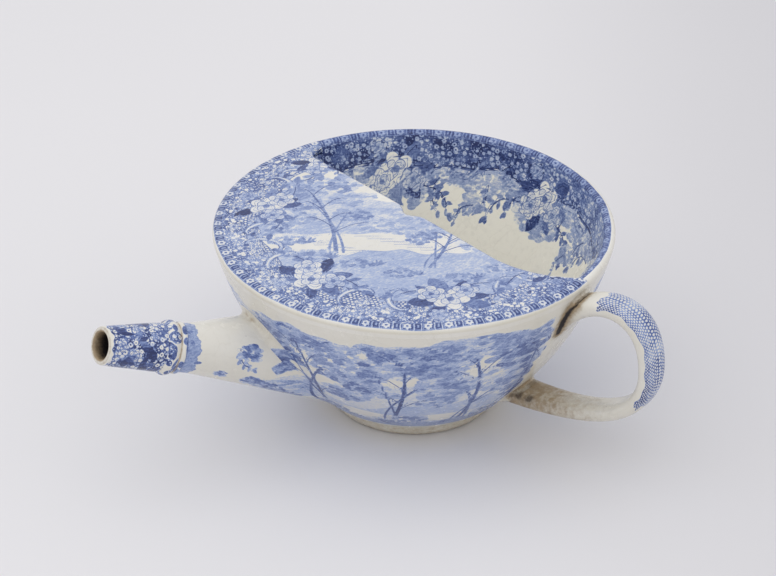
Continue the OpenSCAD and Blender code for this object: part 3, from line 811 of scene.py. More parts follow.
def cover_print(b, p, flat):
    """Chain edging along the rim, then the drawing with its lace and diaper; the round of both edges stays
    bare, but for the far end, where the dark border of the lining runs onto it."""
    s, t, _ = b.split(flat)
    depth = t + (b.noise(p, 0.05, 2) - 0.5)
    diaper = b.use(scale_diaper, Along=s, Across=t, Place=p, Pitch=1.4, Depth=0.66)["Tone"]
    tone = drawn(b, b.use(lace_ground, Place=p, Depth=0.64, Light=0.94)["Tone"], diaper)
    chain = b.use(daisy_edging, Along=s, In=depth - 0.35, Place=p, Pitch=5.4, Width=2.6, Light=0.85)
    tone = b.blend(chain["Mask"], tone, chain["Tone"])
    bare = b.ease(depth, 0.3, 0.42) * b.ease(upward(b), 0.42, 0.58)
    horn = stain_and_shade_values(b)[2] * b.ease(upward(b), 0.5, 0.85, 1, 0)
    dark_lace = b.use(lace_ground, Place=p, Depth=0.88, Light=0.6)["Tone"]
    return b.blend(horn, tone * bare, dark_lace), stretched(b, p, PHOTO_TURN, 1.7, 0.5)


def spout_print(b, p, flat):
    """The drawing on a fine lace ground."""
    lace = b.use(lace_ground, Place=p, Depth=0.85, Light=0.95)["Tone"]
    return drawn(b, lace), stretched(b, p, 0.0, 1.2, 0.5)


def joint_print(b, p, flat):
    """The drawing alone."""
    return drawn(b, 0.5), stretched(b, p, 0.0, 1.2, 0.5)


def strap_print(b, p, flat):
    """Scale diaper where the drawing says that the sheet lies, in patches of more and less ink, darker
    along its sides."""
    s, t, _ = b.split(flat)
    depth = b.ease(b.noise(p, 0.13, 3), 0.36, 0.64, 0.34, 0.8) + b.ease(abs(t - 6.4), 2.0, 5.0, 0.0, 0.26)
    net = b.use(scale_diaper, Along=s, Across=t, Place=p, Pitch=0.98, Depth=depth)["Tone"]
    return drawn(b, net), stretched(b, flat, 0.0, 0.9, 0.5)


def lining_painted_light(b):
    """The lining is painted whiter than the outside: painted light that makes up for the shade inside the
    bowl.
    """
    return b.ease(b.split(flat_place(b))[1], -2.0, 2.0, 0.5, -0.06)


def cover_warmth(b):
    """The flat of the cover is whiter than its rounded edges, and its underside whiter still."""
    return b.blend(b.ease(upward(b), -0.5, 0.0, 1, 0), b.ease(upward(b), 0.1, 0.8, 0.75, 0.28), 0.0)


bowl_ware = finish("bowl_printed_glaze", bowl_print, lining_painted_light)
cover_ware = finish("cover_printed_glaze", cover_print, cover_warmth, 0.45)
spout_ware = finish("spout_printed_glaze", spout_print, 0.45)
strap_ware = finish("strap_printed_glaze", strap_print, 0.5)
plain_ware = finish("plain_glaze", None, 0.6)
joint_ware = finish("joint_printed_glaze", joint_print, 0.5)


# Joints with the wall
FILLET_ROWS = 13


def meet_wall(surface, reach, a):
    """Distance along a tube at which its outside meets the bowl's wall, at each turn: the first of many
    even steps that lies inside the wall, interpolated with the step before it."""
    s = np.linspace(reach[0], reach[1], 400)[:, None]
    gap = off_wall(surface(s, a[None, :]))
    k = np.argmax(gap < 0, axis=0)
    j = np.arange(len(a))
    g0, g1 = gap[k - 1, j], gap[k, j]
    return s[k - 1, 0] + (s[k, 0] - s[k - 1, 0]) * g0 / (g0 - g1)


def back_from(surface, s, a, gap):
    """Points of a tube's outside a gap in mm back from distance s: the gap over the surface's own speed."""
    step = 0.02
    speed = np.linalg.norm(surface(s - step, a) - surface(s, a), axis=-1) / step
    return surface(s - gap / speed, a)


def fillet(surface, reach, a, width):
    """Smoothed clay round a joint with the bowl: at each turn a hollow curve from a foot on the tube to a
    foot on the wall, let in a little past both feet and closed behind under the wall's skin."""
    hollow, past, shrink = 0.42, 0.7, 0.02
    s = meet_wall(surface, reach, a)
    seam = surface(s, a)
    around = np.roll(seam, -1, 0) - np.roll(seam, 1, 0)
    out = np.cross(around, seam - on_wall(seam, -1.0))
    out *= np.sign((out * (seam - seam.mean(0))).sum(-1))[:, None]
    out /= np.linalg.norm(out, axis=-1)[:, None]

    def toe(gap, lift):
        """The joint's line moved out along the wall and lifted off it."""
        return on_wall(seam + out * gap, lift)

    up, down = back_from(surface, s, a, width), toe(width, 0.0)
    lead = back_from(surface, s, a, width + past)
    lead += shrink * (np.roll(lead, len(a) // 2, 0) - lead) / 2
    heart = seam + (up + down - 2 * seam) * (1 - 2 * hollow) * 0.25
    t = np.linspace(0, 1, FILLET_ROWS)[:, None, None]
    curve = (1 - t) ** 2 * up + 2 * t * (1 - t) * heart + t ** 2 * down
    tail = np.stack([toe(width + past, -0.06), toe(width, -0.6), on_wall(seam, -0.8)])
    return np.concatenate([lead[None], curve, tail])


HANDLE_R = RIM_R + HANDLE_REACH
HANDLE_TOP = [[wall_r(HANDLE_TOP_H) - 1.25 * WALL, HANDLE_TOP_H - STRAP_T / 2],
              [RIM_R + 0.16 * HANDLE_REACH, BOWL_H + 0.1 * STRAP_T],
              [HANDLE_R, BOWL_H + STRAP_T / 4],
              [HANDLE_R, HANDLE_SIDE_H]]
HANDLE_LOW = [[HANDLE_R, HANDLE_SIDE_H],
              [HANDLE_R, 0.6 * HANDLE_SIDE_H],
              [HANDLE_R - 0.68 * HANDLE_REACH, HANDLE_LOW_H - STRAP_LOW_T / 4],
              [wall_r(HANDLE_LOW_H) - 1.55 * WALL, HANDLE_LOW_H]]


def strap_skin(t, a):
    """The strap's outside at t along its middle line and turn a round its flat-sided oval section."""
    t, a = np.broadcast_arrays(np.asarray(t, float), np.asarray(a, float))
    shape = t.shape
    t, a = t.ravel(), a.ravel()
    top, top_go = bezier(HANDLE_TOP, np.clip(2 * t, 0, 1))
    low, low_go = bezier(HANDLE_LOW, np.clip(2 * t - 1, 0, 1))
    first = (t < 0.5)[:, None]
    p, d = np.where(first, top, low), np.where(first, top_go, low_go)
    near_top, near_low = np.clip(1 - t / 0.22, 0, None) ** 2, np.clip((t - 0.8) / 0.2, 0, None) ** 2
    w = (STRAP_W + TOP_SPREAD * near_top + LOW_SPREAD * near_low) / 2
    thick = STRAP_T + (STRAP_LOW_T - STRAP_T) * t
    h = (thick + 0.6 * TOP_SPREAD * near_top + 0.4 * LOW_SPREAD * near_low) / 2
    squareness = 2 / 2.8
    out = h * np.sign(np.sin(a)) * np.abs(np.sin(a)) ** squareness
    across = w * np.sign(np.cos(a)) * np.abs(np.cos(a)) ** squareness
    r, z = p[:, 0] - d[:, 1] * out, p[:, 1] + d[:, 0] * out
    return np.stack([*turned(r, across, HANDLE_AT), z], -1).reshape(*shape, 3)


def top_end(t, a):
    """The strap's outside run the other way, from beyond the upper joint towards the wall."""
    return strap_skin(0.3 - t, a)


def low_end(t, a):
    """The strap's outside from beyond the lower joint towards the wall."""
    return strap_skin(0.7 + t, a)


# Places at the handle with old stain and painted shade: a crack along the upper joint whose near-black is
# partly painted shade of the gap, a brown and a black blot at the lower one
END_REACH = (0.0, 0.29)
ROUND = turns(120)
TOP_AT, LOW_AT = (meet_wall(end, END_REACH, ROUND) for end in (top_end, low_end))
crack_k = np.arange(28, 73)
crack_up = 2.3 * np.clip((62 - crack_k) / 14, 0, 1)
CRACK = back_from(top_end, TOP_AT[crack_k], ROUND[crack_k], crack_up)
crack_taper = np.sin(np.pi * np.linspace(0.04, 0.96, len(crack_k))) ** 0.7
CRACK_W = 0.2 * crack_taper + 0.6 * np.clip(1 - crack_up / 2, 0, 1)
low_seam = low_end(LOW_AT, ROUND)
BLOT = np.concatenate([low_seam[82:94:3], strap_skin([0.925, 0.945], [4.65, 4.85])])
BLACK = np.concatenate([low_seam[72:80:2], strap_skin([0.955, 0.935], [3.75, 3.7])])
BLOT_R = 0.8


def stains_and_crack_shade(points):
    """Brown and near-black round the handle: a tapered crack along the upper joint with a brown fringe, its
    near-black partly painted shade of the opened gap, a brown blot over the lower joint and a dark one
    beside it, both old stain. Each is a fall-off with distance."""
    def away(line, width):
        """Distance to a row of spots, less their half-widths."""
        return (np.linalg.norm(points[..., None, :] - line, axis=-1) - width).min(-1)

    def fade(d, reach):
        """Bell-shaped fall-off."""
        return np.exp(-(np.maximum(d, 0) / reach) ** 2)

    crack, blot, black = away(CRACK, CRACK_W), away(BLOT, BLOT_R), away(BLACK, BLOT_R)
    brown = np.maximum(np.maximum(fade(crack, 1.7), 0.85 * fade(blot, 2.6)), 0.8 * fade(black, 2.4))
    # Near-black of the crack, partly painted shade of its gap, and of the black blot
    return brown, np.maximum(np.clip(0.68 - 0.8 * crack, 0, 1), np.clip(0.55 - 0.25 * black, 0, 0.55))


# Bowl
BOWL_TURNS, WALL_ROWS, LIP_ROWS, LINING_ROWS = 480, 92, 13, 63
HUB_R, HEEL_W, HEEL_H, END_SLIT = 1.0, 0.6, 0.5, 0.002


def pair(x, y):
    """Points from two rows of numbers, or a row and one number."""
    return np.stack(np.broadcast_arrays(x, y), -1)


def spun(rz, az):
    """Section points (radius, height) carried round Z."""
    r, z = rz[..., 0], rz[..., 1]
    return np.stack(np.broadcast_arrays(r * np.cos(az), r * np.sin(az), z), -1)


def pierce(points, r, depth):
    """Passage into the spout: wall points within r of the spout's axis go along it towards the mouth, and
    the points nearest to that circle are drawn onto it."""
    soft, clear = 0.4, 0.3
    q = points - MOUTH
    off = q - (q @ SPOUT_AXIS)[..., None] * SPOUT_AXIS
    d = np.linalg.norm(off, axis=-1)
    spout_side = points[..., 0] < -RIM_R / 2
    pull = np.where(spout_side, (r - d) / d * np.exp(-((d - r) / soft) ** 2), 0)
    push = np.where(spout_side & (d < r - clear), -depth, 0)
    return points + pull[..., None] * off + push[..., None] * SPOUT_AXIS


def make_bowl():
    """Section from the axis under the floor, out, up the wall's circle, over the lip, down the hollow and
    back to the axis, carried round Z. Under the cover the lip is swapped for a flat seat. Hands back the
    points, their turns, the length run from the lip's crest and the wall's heights with theirs."""
    az = turns(BOWL_TURNS)
    covered = (az > OPEN_TO) & (az < OPEN_FROM + TURN)
    first, last = np.nonzero(covered)[0][[0, -1]]
    az[[first - 1, first]] = OPEN_TO + np.array([0.0, END_SLIT])
    az[[last, last + 1]] = OPEN_FROM + TURN - np.array([END_SLIT, 0.0])
    under = pair(np.linspace(HUB_R, BASE_R - HEEL_W, 9), FOOT_H)
    a = np.linspace(0.4, 1.2, 3)
    heel = pair(BASE_R - HEEL_W + HEEL_W * np.sin(a), FOOT_H + HEEL_H - HEEL_H * np.cos(a))

    def section(top, crest):
        """Section with the wall ending at height top and these points across its crest."""
        z = np.append(np.linspace(FOOT_H + HEEL_W, top - 0.4, WALL_ROWS - 1), top)
        wall = pair(wall_r(z), z)
        joint = ROUND_Z + FLOOR_ROUND * (ROUND_Z - ARC_C[1]) / (INNER_R - FLOOR_ROUND)
        z = crest[-1, 1] + (joint - crest[-1, 1]) * np.linspace(0, 1, LINING_ROWS + 1)[1:]
        lining = pair(ARC_C[0] + np.sqrt(INNER_R ** 2 - (z - ARC_C[1]) ** 2), z)
        a = np.linspace(np.arctan2(ROUND_Z - ARC_C[1], ROUND_R - ARC_C[0]), -np.pi / 2, 12)[1:]
        curve = pair(ROUND_R + FLOOR_ROUND * np.cos(a), ROUND_Z + FLOOR_ROUND * np.sin(a))
        floor = pair(np.linspace(ROUND_R, HUB_R, 7)[1:], FLOOR_Z)
        return np.vstack([under, heel, wall, crest, lining, curve, floor])

    lip_out = np.arctan2(LIP_Z - ARC_C[1], LIP_R - ARC_C[0])
    a = np.linspace(lip_out, lip_out + np.pi, LIP_ROWS)
    round_lip = pair(LIP_R + WALL / 2 * np.cos(a), LIP_Z + WALL / 2 * np.sin(a))
    f = np.linspace(0, 1, LIP_ROWS)
    f[1], f[-2] = 0.01, 0.97
    flat_lip = pair(wall_r(SEAT_Z) * (1 - f) + UNDER_R * f, SEAT_Z)
    whole = section(round_lip[0, 1] - 0.3, round_lip)
    low = section(SEAT_Z - 0.03, flat_lip)
    points = spun(np.where(covered[None, :, None], low[:, None], whole[:, None]), az)
    run = along(whole)
    wall = slice(len(under) + len(heel), len(under) + len(heel) + WALL_ROWS)
    run -= run[wall.stop + LIP_ROWS // 2]
    t = np.broadcast_to(run[:, None], points.shape[:2])
    points = np.where((t > 0)[..., None], pierce(points, WALL_HOLE_R, PASSAGE_L),
                      pierce(points, WALL_HOLE_R + PASSAGE_WALL, PASSAGE_L + PASSAGE_WALL))
    return points, az, t, (whole[wall, 1], run[wall])


def draw_outside(az, rise):
    """Landscape all round the wall, x along the wall and y up it from the foot: far woods in rows, a
    stretch of water, trees with several slender stems and bushes on a near bank. Nothing is drawn in the
    band below the lip and round the handle's joints."""
    art = Engraving(az * WALL_MM, rise - DRAWING_LIFT, TURN * WALL_MM)
    x, y = art.x / WALL_MM, art.y
    for n in range(20):
        at = (13.2 * n + 3 * np.sin(2.7 * n), 42 + 7 * np.sin(1.9 * n + 0.5))
        thicket(art, at, 19 + 4 * np.sin(n), 9, 0.27, 860 + n)
    art.wash(30 + 4.0 * np.sin(3 * x + 1.0) + 2.0 * np.sin(8 * x) - y, 0.14, 0.2)
    for n in range(22):
        at = (12.0 * n + 2 * np.sin(2.1 * n), 29 + 4.5 * np.sin(0.857 * n + 1.0))
        thicket(art, at, 15, 8, 0.32, 800 + n)
    art.wash(21 + 3.0 * np.sin(4 * x + 2.6) + 1.4 * np.sin(11 * x + 1) - y, 0.26, 0.3)
    art.wash(np.minimum(15.5 + 0.5 * np.sin(9 * x) - y, y - 9.0), 0.06, 0.3)
    ripple = pair(np.linspace(0, 7, 5), 0.2 * np.sin(np.linspace(0, 6, 5)))
    for n in range(60):
        art.thread(ripple + (4.4 * n + 3 * np.sin(5.1 * n), 10.0 + 1.2 * (n % 5)), 0.5)
    trees = ((12, 48, 3, 32, 0.44), (47, 42, -3, 28, 0.4), (80, 49, 2, 32, 0.44),
             (113, 44, -2, 28, 0.42), (143, 47, 3, 26, 0.54), (167, 46, 4, 26, 0.52),
             (190, 48, -3, 30, 0.48), (203, 50, 3, 25, 0.46), (240, 45, 3, 28, 0.42))
    for n, (k, h, lean, wide, tone) in enumerate(trees):
        tree(art, (k, 8), h, lean, wide, tone, 40 + n)
    crowns = ((153, 50), (176, 44), (183, 35), (186, 50), (197, 52), (179, 53), (191, 54), (207, 51),
              (215, 49), (60, 48), (96, 50), (30, 49), (228, 50), (255, 49), (124, 48))
    thickets(art, crowns, 18, 8, 0.4, 900)
    art.wash(8.5 + 1.6 * np.sin(6 * x + 0.5) + 0.8 * np.sin(17 * x) - y, 0.44, 0.4)
    for n in range(26):
        k = 10.2 * n + 3.5 * np.sin(3.7 * n)
        if n % 3:
            thicket(art, (k, 10.5 + 2.5 * np.sin(2.3 * n)), 12 + 2 * np.sin(1.9 * n), 6.5, 0.5, 90 + n)
        tuft(art, (k + 4, 6.5 + np.sin(n)), 4.2, 0.6, 130 + n)
    art.wash(3.4 - y, 0.0, 0.5)
    half = WALL_MM * np.pi
    from_handle = np.abs(np.mod(art.x - HANDLE_AT * WALL_MM + half, 2 * half) - half)
    ragged = 0.5 * np.sin(y / 1.3) + 0.4 * np.sin(y / 0.6) + 0.6 * np.sin(y / 4.0)
    art.wash(7.2 + ragged - from_handle, 0.0)
    top = 52.3 + 3.2 * np.exp(-((art.x - 187) / 13) ** 4)
    art.wash(y - top - 0.8 * np.sin(13 * x) - 0.5 * np.sin(31 * x), 0.0)
    return art.marks()


def outside_here(p):
    """The outside's drawing at points on or near the wall, found by their turn and height."""
    az = np.mod(np.arctan2(p[..., 1], p[..., 0]), TURN)
    return draw_outside(az, np.interp(p[..., 2], *wall_run) + FOOT_RUN)


def draw_lining(az, t):
    """Border inside the open half, x along the lip and y down from it: a dark lace band with a lined edge,
    a fringe of leaves and scrolls hung from it, posies, and small sprigs on the bare glaze below."""
    art = Engraving((np.mod(az + np.pi, TURN) - np.pi) * LIP_MM, -t)
    wave = 0.9 * np.sin(art.x / 5.5) + 0.5 * np.sin(art.x / 2.3)
    fringe = [(k, -14.0 - 1.6 * np.sin(1.7 * n)) for n, k in enumerate(range(-62, 90, 6))]
    thickets(art, fringe, 9, 7, 0.28, 360)
    art.wash(10.4 + wave + art.y, LACE_TONE, 1.0)
    art.wash(np.minimum(12.2 + wave + art.y, -11.0 - wave - art.y), 0.22, 0.6)
    for n, k in enumerate(range(-58, 84, 15)):
        hand = 1 if n % 2 else -1
        scroll(art, (k + 3, -11.5), 0.4 if n % 2 else 2.6, 8.5, hand, 0.55)
        spray(art, (k - 4, -14), -1.2 - 0.5 * np.sin(n), 10.0, hand, 300 + n, 0.6)
    for n, (k, d, size) in enumerate(((-34, 12.5, 7.0), (8, 12.5, 8.0), (56, 12.0, 8.0))):
        thicket(art, (k, -d - 7), 21, 10, 0.28, 390 + n)
        posy(art, (k, -d), size, -1.57, 320 + n, 0.88)
        spray(art, (k + 9, -d - 4), -0.6, 12, 1, 330 + n, 0.66)
        spray(art, (k - 8, -d - 5), -2.4, 11, -1, 340 + n, 0.66)
    for n, (k, d) in enumerate(((-10, 22), (32, 21), (74, 22), (-52, 22))):
        thicket(art, (k, -d), 9, 6, 0.36, 395 + n)
        spray(art, (k, -d), -1.2 + 0.4 * n, 7.5, 1, 350 + n, 0.45)
    return art.marks()


points, az, t, wall_run = make_bowl()
lined = (t > -1.5) & (np.mod(az - OPEN_FROM + 0.25, TURN) < OPEN_TO - OPEN_FROM + 0.5)
layers = zip(draw_outside(az, t + FOOT_RUN), draw_lining(az, t), BARE)
drawing = [np.where(lined, inside, np.where(t > 0, bare, outside)) for outside, inside, bare in layers]
place = pair(np.append(az, TURN)[None, :] * LIP_MM, t[:, :1])
outer_stains_and_shade = [np.where(t < -2, value, 0.0) for value in stains_and_crack_shade(points)]
seat(skin("bowl_wall", points, place=place, drawing=drawing, stain_shade_and_mask=(*outer_stains_and_shade, 0.0)),
     "printed_ware", bowl_ware, "bowl")


# Foot ring
def make_foot():
    """Section of the ring with eased corners, carried round Z: each corner is cut to a short curve. Tan
    brown all over for the bare clay, darkened in part as painted shade under the bowl, and browner and
    near-black towards where it stands as painted contact shadow."""
    inner, tread = FOOT_R - FOOT_W, 0.9
    corner = np.array([[inner - FOOT_LEAN / 2, FOOT_H], [inner, 0.5], [inner + tread, 0.0],
                       [FOOT_R - tread, 0.0], [FOOT_R, 0.5], [FOOT_R + FOOT_LEAN, FOOT_H]])
    before, after = np.roll(corner, 1, 0), np.roll(corner, -1, 0)
    step = np.linspace(0, 1, 7)[None, :, None]
    arms = np.linalg.norm(np.stack([before - corner, after - corner]), axis=-1)
    ease = np.minimum(0.45, 0.8 / arms)[..., None]
    a, c = corner + (before - corner) * ease[0], corner + (after - corner) * ease[1]
    curve = (1 - step) ** 2 * a[:, None] + 2 * step * (1 - step) * corner[:, None] + step ** 2 * c[:, None]
    rz = np.vstack([corner[:1], curve[1:-1].reshape(-1, 2), corner[-1:]])
    # Painted contact shadow: browner and near-black within 0.9 mm of the ground
    low = np.clip(1 - rz[:, 1:] / 0.9, 0, 1)
    return skin("foot", spun(rz[:, None], turns(160)), loop=True, stain_shade_and_mask=(0.46 + 0.4 * low, 0.42 * low, 0.0))


seat(make_foot(), "plain_ware", plain_ware, "foot_ring")


# Half cover
STATIONS, COVER_ROWS = 440, 136
END_CLEAR, SOLE_IN, LEAST_T, HOLLOW_H, HOLLOW_W = 0.004, 0.03, 0.05, 0.6, 5
SIDE_STEPS = (1.1, 0.5, 0.1, 0.02)
ENDS = ((NEAR_BEND, NEAR_BEND_R, NEAR_END), (FAR_HORN, FAR_HORN_R, FAR_END))


def straight_edge(y):
    """Where the straight part of the free edge runs: its own distance less a dip shaped as one cosine
    wave."""
    dip = np.clip((y - NOTCH_SHIFT) / NOTCH_W, -0.5, 0.5)
    return COVER_EDGE - NOTCH_DEPTH * (1 + np.cos(TURN * dip)) / 2


def free_edge(x, y):
    """How far points of the cover's plan lie inside its free edge: off the straight edge with its dip, or
    off the circle that bends the edge towards the rim at each end."""
    inside = straight_edge(y) - x
    for (cx, cy), r, _ in ENDS:
        inside = np.where((y - cy) * np.sign(cy) > 0, np.hypot(x - cx, y - cy) - r, inside)
    return inside


def let_down(gap):
    """How far a quarter round of half the cover's thickness lies below the flat, at a gap in from its
    edge."""
    half = COVER_T / 2
    return half - np.sqrt(np.maximum(half ** 2 - (half - np.clip(gap, 0, half)) ** 2, 0))


def make_cover():
    """For every station along the free edge, a loop from that edge over the top to the rim and back
    underneath. The top is a shallow dome; both edges are let down by a quarter round of half the cover's
    thickness."""
    half = COVER_T / 2
    y = RIM_R * np.sin(np.linspace(-1, 1, STATIONS) * (np.pi / 2 - END_CLEAR))
    edge = straight_edge(y)
    for (cx, cy), r, end in ENDS:
        past = (y - cy) * np.sign(cy)
        edge = np.where(past > 0, cx - np.sqrt(np.maximum(r ** 2 - past ** 2, 0)), edge)
        edge = np.where(y / end[1] > 1, y * end[0] / end[1], edge)
    rim = np.sqrt(RIM_R ** 2 - y ** 2)
    edge = np.minimum(edge, rim)
    length = edge + rim
    near = np.minimum(half / np.maximum(length, 1e-6), 0.25)[:, None]
    bow = (1 - np.cos(np.linspace(0, np.pi / 2, 9)))[None, :]
    middle = near + (1 - 2 * near) * np.linspace(0, 1, COVER_ROWS)[None, 1:-1]
    frac = np.concatenate([near * bow, middle, 1 - near * bow[:, ::-1]], 1)
    x = edge[:, None] - length[:, None] * frac
    yy = np.broadcast_to(y[:, None], x.shape)
    r = np.hypot(x, yy)
    dome = np.minimum(COVER_DOME * (1 - (r / LIP_R) ** 2), 0.75).clip(0)
    top = BOWL_H + dome - np.minimum(np.hypot(let_down(free_edge(x, yy)), let_down(RIM_R - r)), half)
    xb = edge[:, None] - length[:, None] * frac[:, ::-1][:, ::6]
    yb = np.broadcast_to(y[:, None], xb.shape)
    shrink = 1 - (1 - wall_r(SEAT_Z) / RIM_R) * (np.hypot(xb, yb) / RIM_R) ** 16
    xb, yb = xb * shrink, yb * shrink
    gap = free_edge(xb, yb)
    hollow = HOLLOW_H * np.clip(1 - gap / HOLLOW_W, 0, 1) ** 2 * (np.hypot(xb, yb) < UNDER_R)
    low = np.minimum(SEAT_Z + let_down(gap) + hollow, top[:, :1] - LEAST_T)
    upper, lower = np.stack([x, yy, top], -1), np.stack([xb, yb, low], -1)

    def rim_side(plan, lift, pull=0.0):
        """Points on the wall's circle at a height above the seat, straight out from these."""
        out = plan / np.hypot(plan[:, 0], plan[:, 1])[:, None]
        z = SEAT_Z + lift
        return np.column_stack([out * (wall_r(z) - pull), np.full(STATIONS, z)])

    rim_plan = lower[:, 0, :2]
    side = [rim_side(rim_plan, h) for h in SIDE_STEPS] + [rim_side(rim_plan, 0.0, SOLE_IN)]
    start, end = upper[:, 0], lower[:, -1]
    past_end = (edge >= rim)[:, None]
    closing = [np.where(past_end, rim_side(end[:, :2], h), end + (start - end) * k)
               for h, k in zip(SIDE_STEPS[::-1], (0.2, 0.4, 0.6, 0.8))]
    p = np.concatenate([upper, np.stack(side, 1), lower[:, 1:], np.stack(closing, 1)], 1)
    return np.stack([*turned(p[..., 0], p[..., 1], COVER_TURN), p[..., 2]], -1)


def draw_cover(x, y):
    """The cover's picture, upright for someone at the handle's left: lace and diaper along the rim, sown
    with small flowers and leaves, scrolls and posies on their inner edge, and inside them woods, water and
    two slender trees under a bare sky."""
    art = Engraving(*turned(x, y, PHOTO_TURN))
    x, y = art.x, art.y
    r, a = np.hypot(x, y), np.arctan2(y, x)
    middle = 45 - r
    art.wash(np.minimum(middle, 13 + 3.0 * np.sin(x / 7) + 1.2 * np.sin(x / 2.6) - y), 0.17, 0.2)
    art.wash(np.minimum(middle, 4 + 3.5 * np.sin(x / 9 + 2) + 1.0 * np.sin(x / 3.1) - y), 0.26, 0.25)
    far_bank = -7.0 + 0.4 * np.sin(x / 2) - y
    near_bank = y + 17 + 1.1 * np.sin(x / 4.3) + 0.6 * np.sin(x / 1.7)
    art.wash(np.minimum(middle, np.minimum(far_bank, near_bank)), 0.04, 0.35)
    ripple = pair(np.linspace(0, 8, 5), 0.0)
    for n in range(20):
        art.thread(ripple + (-38 + 3.6 * n, -8.5 - 1.5 * (n % 6)), 0.45)
    woods = ((-31, 9, 17, 9, 0.3), (-13, 25, 22, 7, 0.24), (-26, 31, 19, 7, 0.24), (-18, 13, 18, 6, 0.26),
             (4, 3, 20, 8, 0.28), (-4, -5, 18, 5, 0.27), (19, -12, 18, 7, 0.28), (-36, -3, 12, 7, 0.32))
    for n, (px, py, w, h, tone) in enumerate(woods):
        thicket(art, (px, py), w, h, tone, 500 + n)
    tree(art, (-21, -17), 39, -8, 28, 0.36, 510)
    tree(art, (4, -25), 29, 6, 22, 0.34, 511)
    bushes = ((-34, -10), (-27, -18), (-15, -22), (-4, -27), (12, -29), (23, -25), (-39, 2))
    for n, (px, py) in enumerate(bushes):
        thicket(art, (px, py), 13, 6, 0.38, 520 + n)
        tuft(art, (px + 5, py - 2), 3.6, 0.55, 540 + n)
    in_from_rim = RIM_R - r
    art.wash(13.5 + 1.2 * np.sin(3 * a + 0.6) + 1.5 * np.sin(9 * a + 1.0) - in_from_rim, DIAPER_TONE, 0.6)
    art.wash(10.0 + 1.8 * np.sin(5 * a + 2.0) + 0.8 * np.sin(13 * a) - in_from_rim, LACE_TONE, 0.4)
    rng = np.random.default_rng(77)
    around = np.radians(np.arange(100, 340, 4.6))
    for k, out in zip(around, rng.uniform(42.5, 50.0, len(around))):
        at = round_at(out, k)
        for side in (-1, 1):
            art.lay(leaf(3.0, 1.3), at, 3, k + side * rng.uniform(0.8, 2.2), rng.uniform(0.45, 0.8), 0.4)
        blossom(art, at, rng.uniform(1.5, 2.3), k, 5, 0.04, 0.5)
    for n, k in enumerate(np.radians([116, 139, 150, 184, 196, 209, 247, 263, 304, 316])):
        scroll(art, round_at(41.5, k), k + (0.3 if n % 2 else 2.5), 10.0, 1 if n % 2 else -1, 0.36)
    posies = ((128, 42.5, 6.0), (168, 41.5, 7.5), (228, 41.0, 8.0), (283, 41.5, 7.8), (324, 44.5, 5.0))
    for n, (k, out, size) in enumerate(posies):
        k = np.radians(k)
        at = round_at(out, k)
        spray(art, at, k + 1.9, 15, 1, 560 + n, 0.6)
        spray(art, at, k - 1.9, 15, -1, 570 + n, 0.55)
        spray(art, at, k + 3.0, 10, 1, 580 + n, 0.45)
        posy(art, at, size, k + np.pi, 590 + n, 0.9)
    return art.marks()


points = make_cover()
plan = points[..., :2]
r = np.hypot(plan[..., 0], plan[..., 1])
place = pair(np.mod(np.arctan2(plan[..., 1], plan[..., 0]), TURN) * RIM_MM, RIM_R - r)
place = np.concatenate([place, place[:, :1]], 1)
from_tip = np.linalg.norm(plan - round_at(UNDER_R, OPEN_TO), axis=-1)
far_tip = np.exp(-(from_tip / 8.0) ** 6) * (r < UNDER_R + 0.5)
drawing = draw_cover(plan[..., 0], plan[..., 1])
seat(skin("cover", points, place=place, drawing=drawing, stain_shade_and_mask=(0.0, 0.0, far_tip)),
     "printed_ware", cover_ware, "half_cover")


# Spout
SPOUT_TO_WALL = (COLLAR_BACK, ROOT_L + 28)


def on_spout(s, r, a):
    """Points at distance s from the mouth along the spout's axis, r from it, turned a from underneath."""
    return (MOUTH + s[..., None] * SPOUT_AXIS
            + (r * np.cos(a))[..., None] * SPOUT_DOWN + (r * np.sin(a))[..., None] * SPOUT_SIDE)


def tube_r(s):
    """Outer radius of the spout: a neck, then a cone opening towards the bowl, eased where they meet."""
    d = s - COLLAR_BACK
    return NECK_R + (ROOT_R - NECK_R) / (ROOT_L - COLLAR_BACK) * (d + np.sqrt(d * d + 4.0)) / 2


def spout_skin(s, a):
    """The spout's outside: its radius at each distance, turned about the axis."""
    s, a = np.broadcast_arrays(s, a)
    return on_spout(s, tube_r(s), a)


def make_tube():
    """Outside of the cone from the collar to just inside the bowl's skin, then back along its bore."""
    let_in, widening = 0.7, 4.4
    a = turns(200)
    end = meet_wall(spout_skin, SPOUT_TO_WALL, a) + let_in
    f = np.linspace(0, 1, 110)[:, None]
    s = MOUTHPIECE_L + f * (end - MOUTHPIECE_L)
    back = s[::-5]
    inner = on_spout(back, BORE_R + np.interp(back, [MOUTHPIECE_L, ROOT_L], [0, widening]), a[None, :])
    return in_wall(np.concatenate([spout_skin(s, a[None, :]), inner])), np.concatenate([s, back]), a


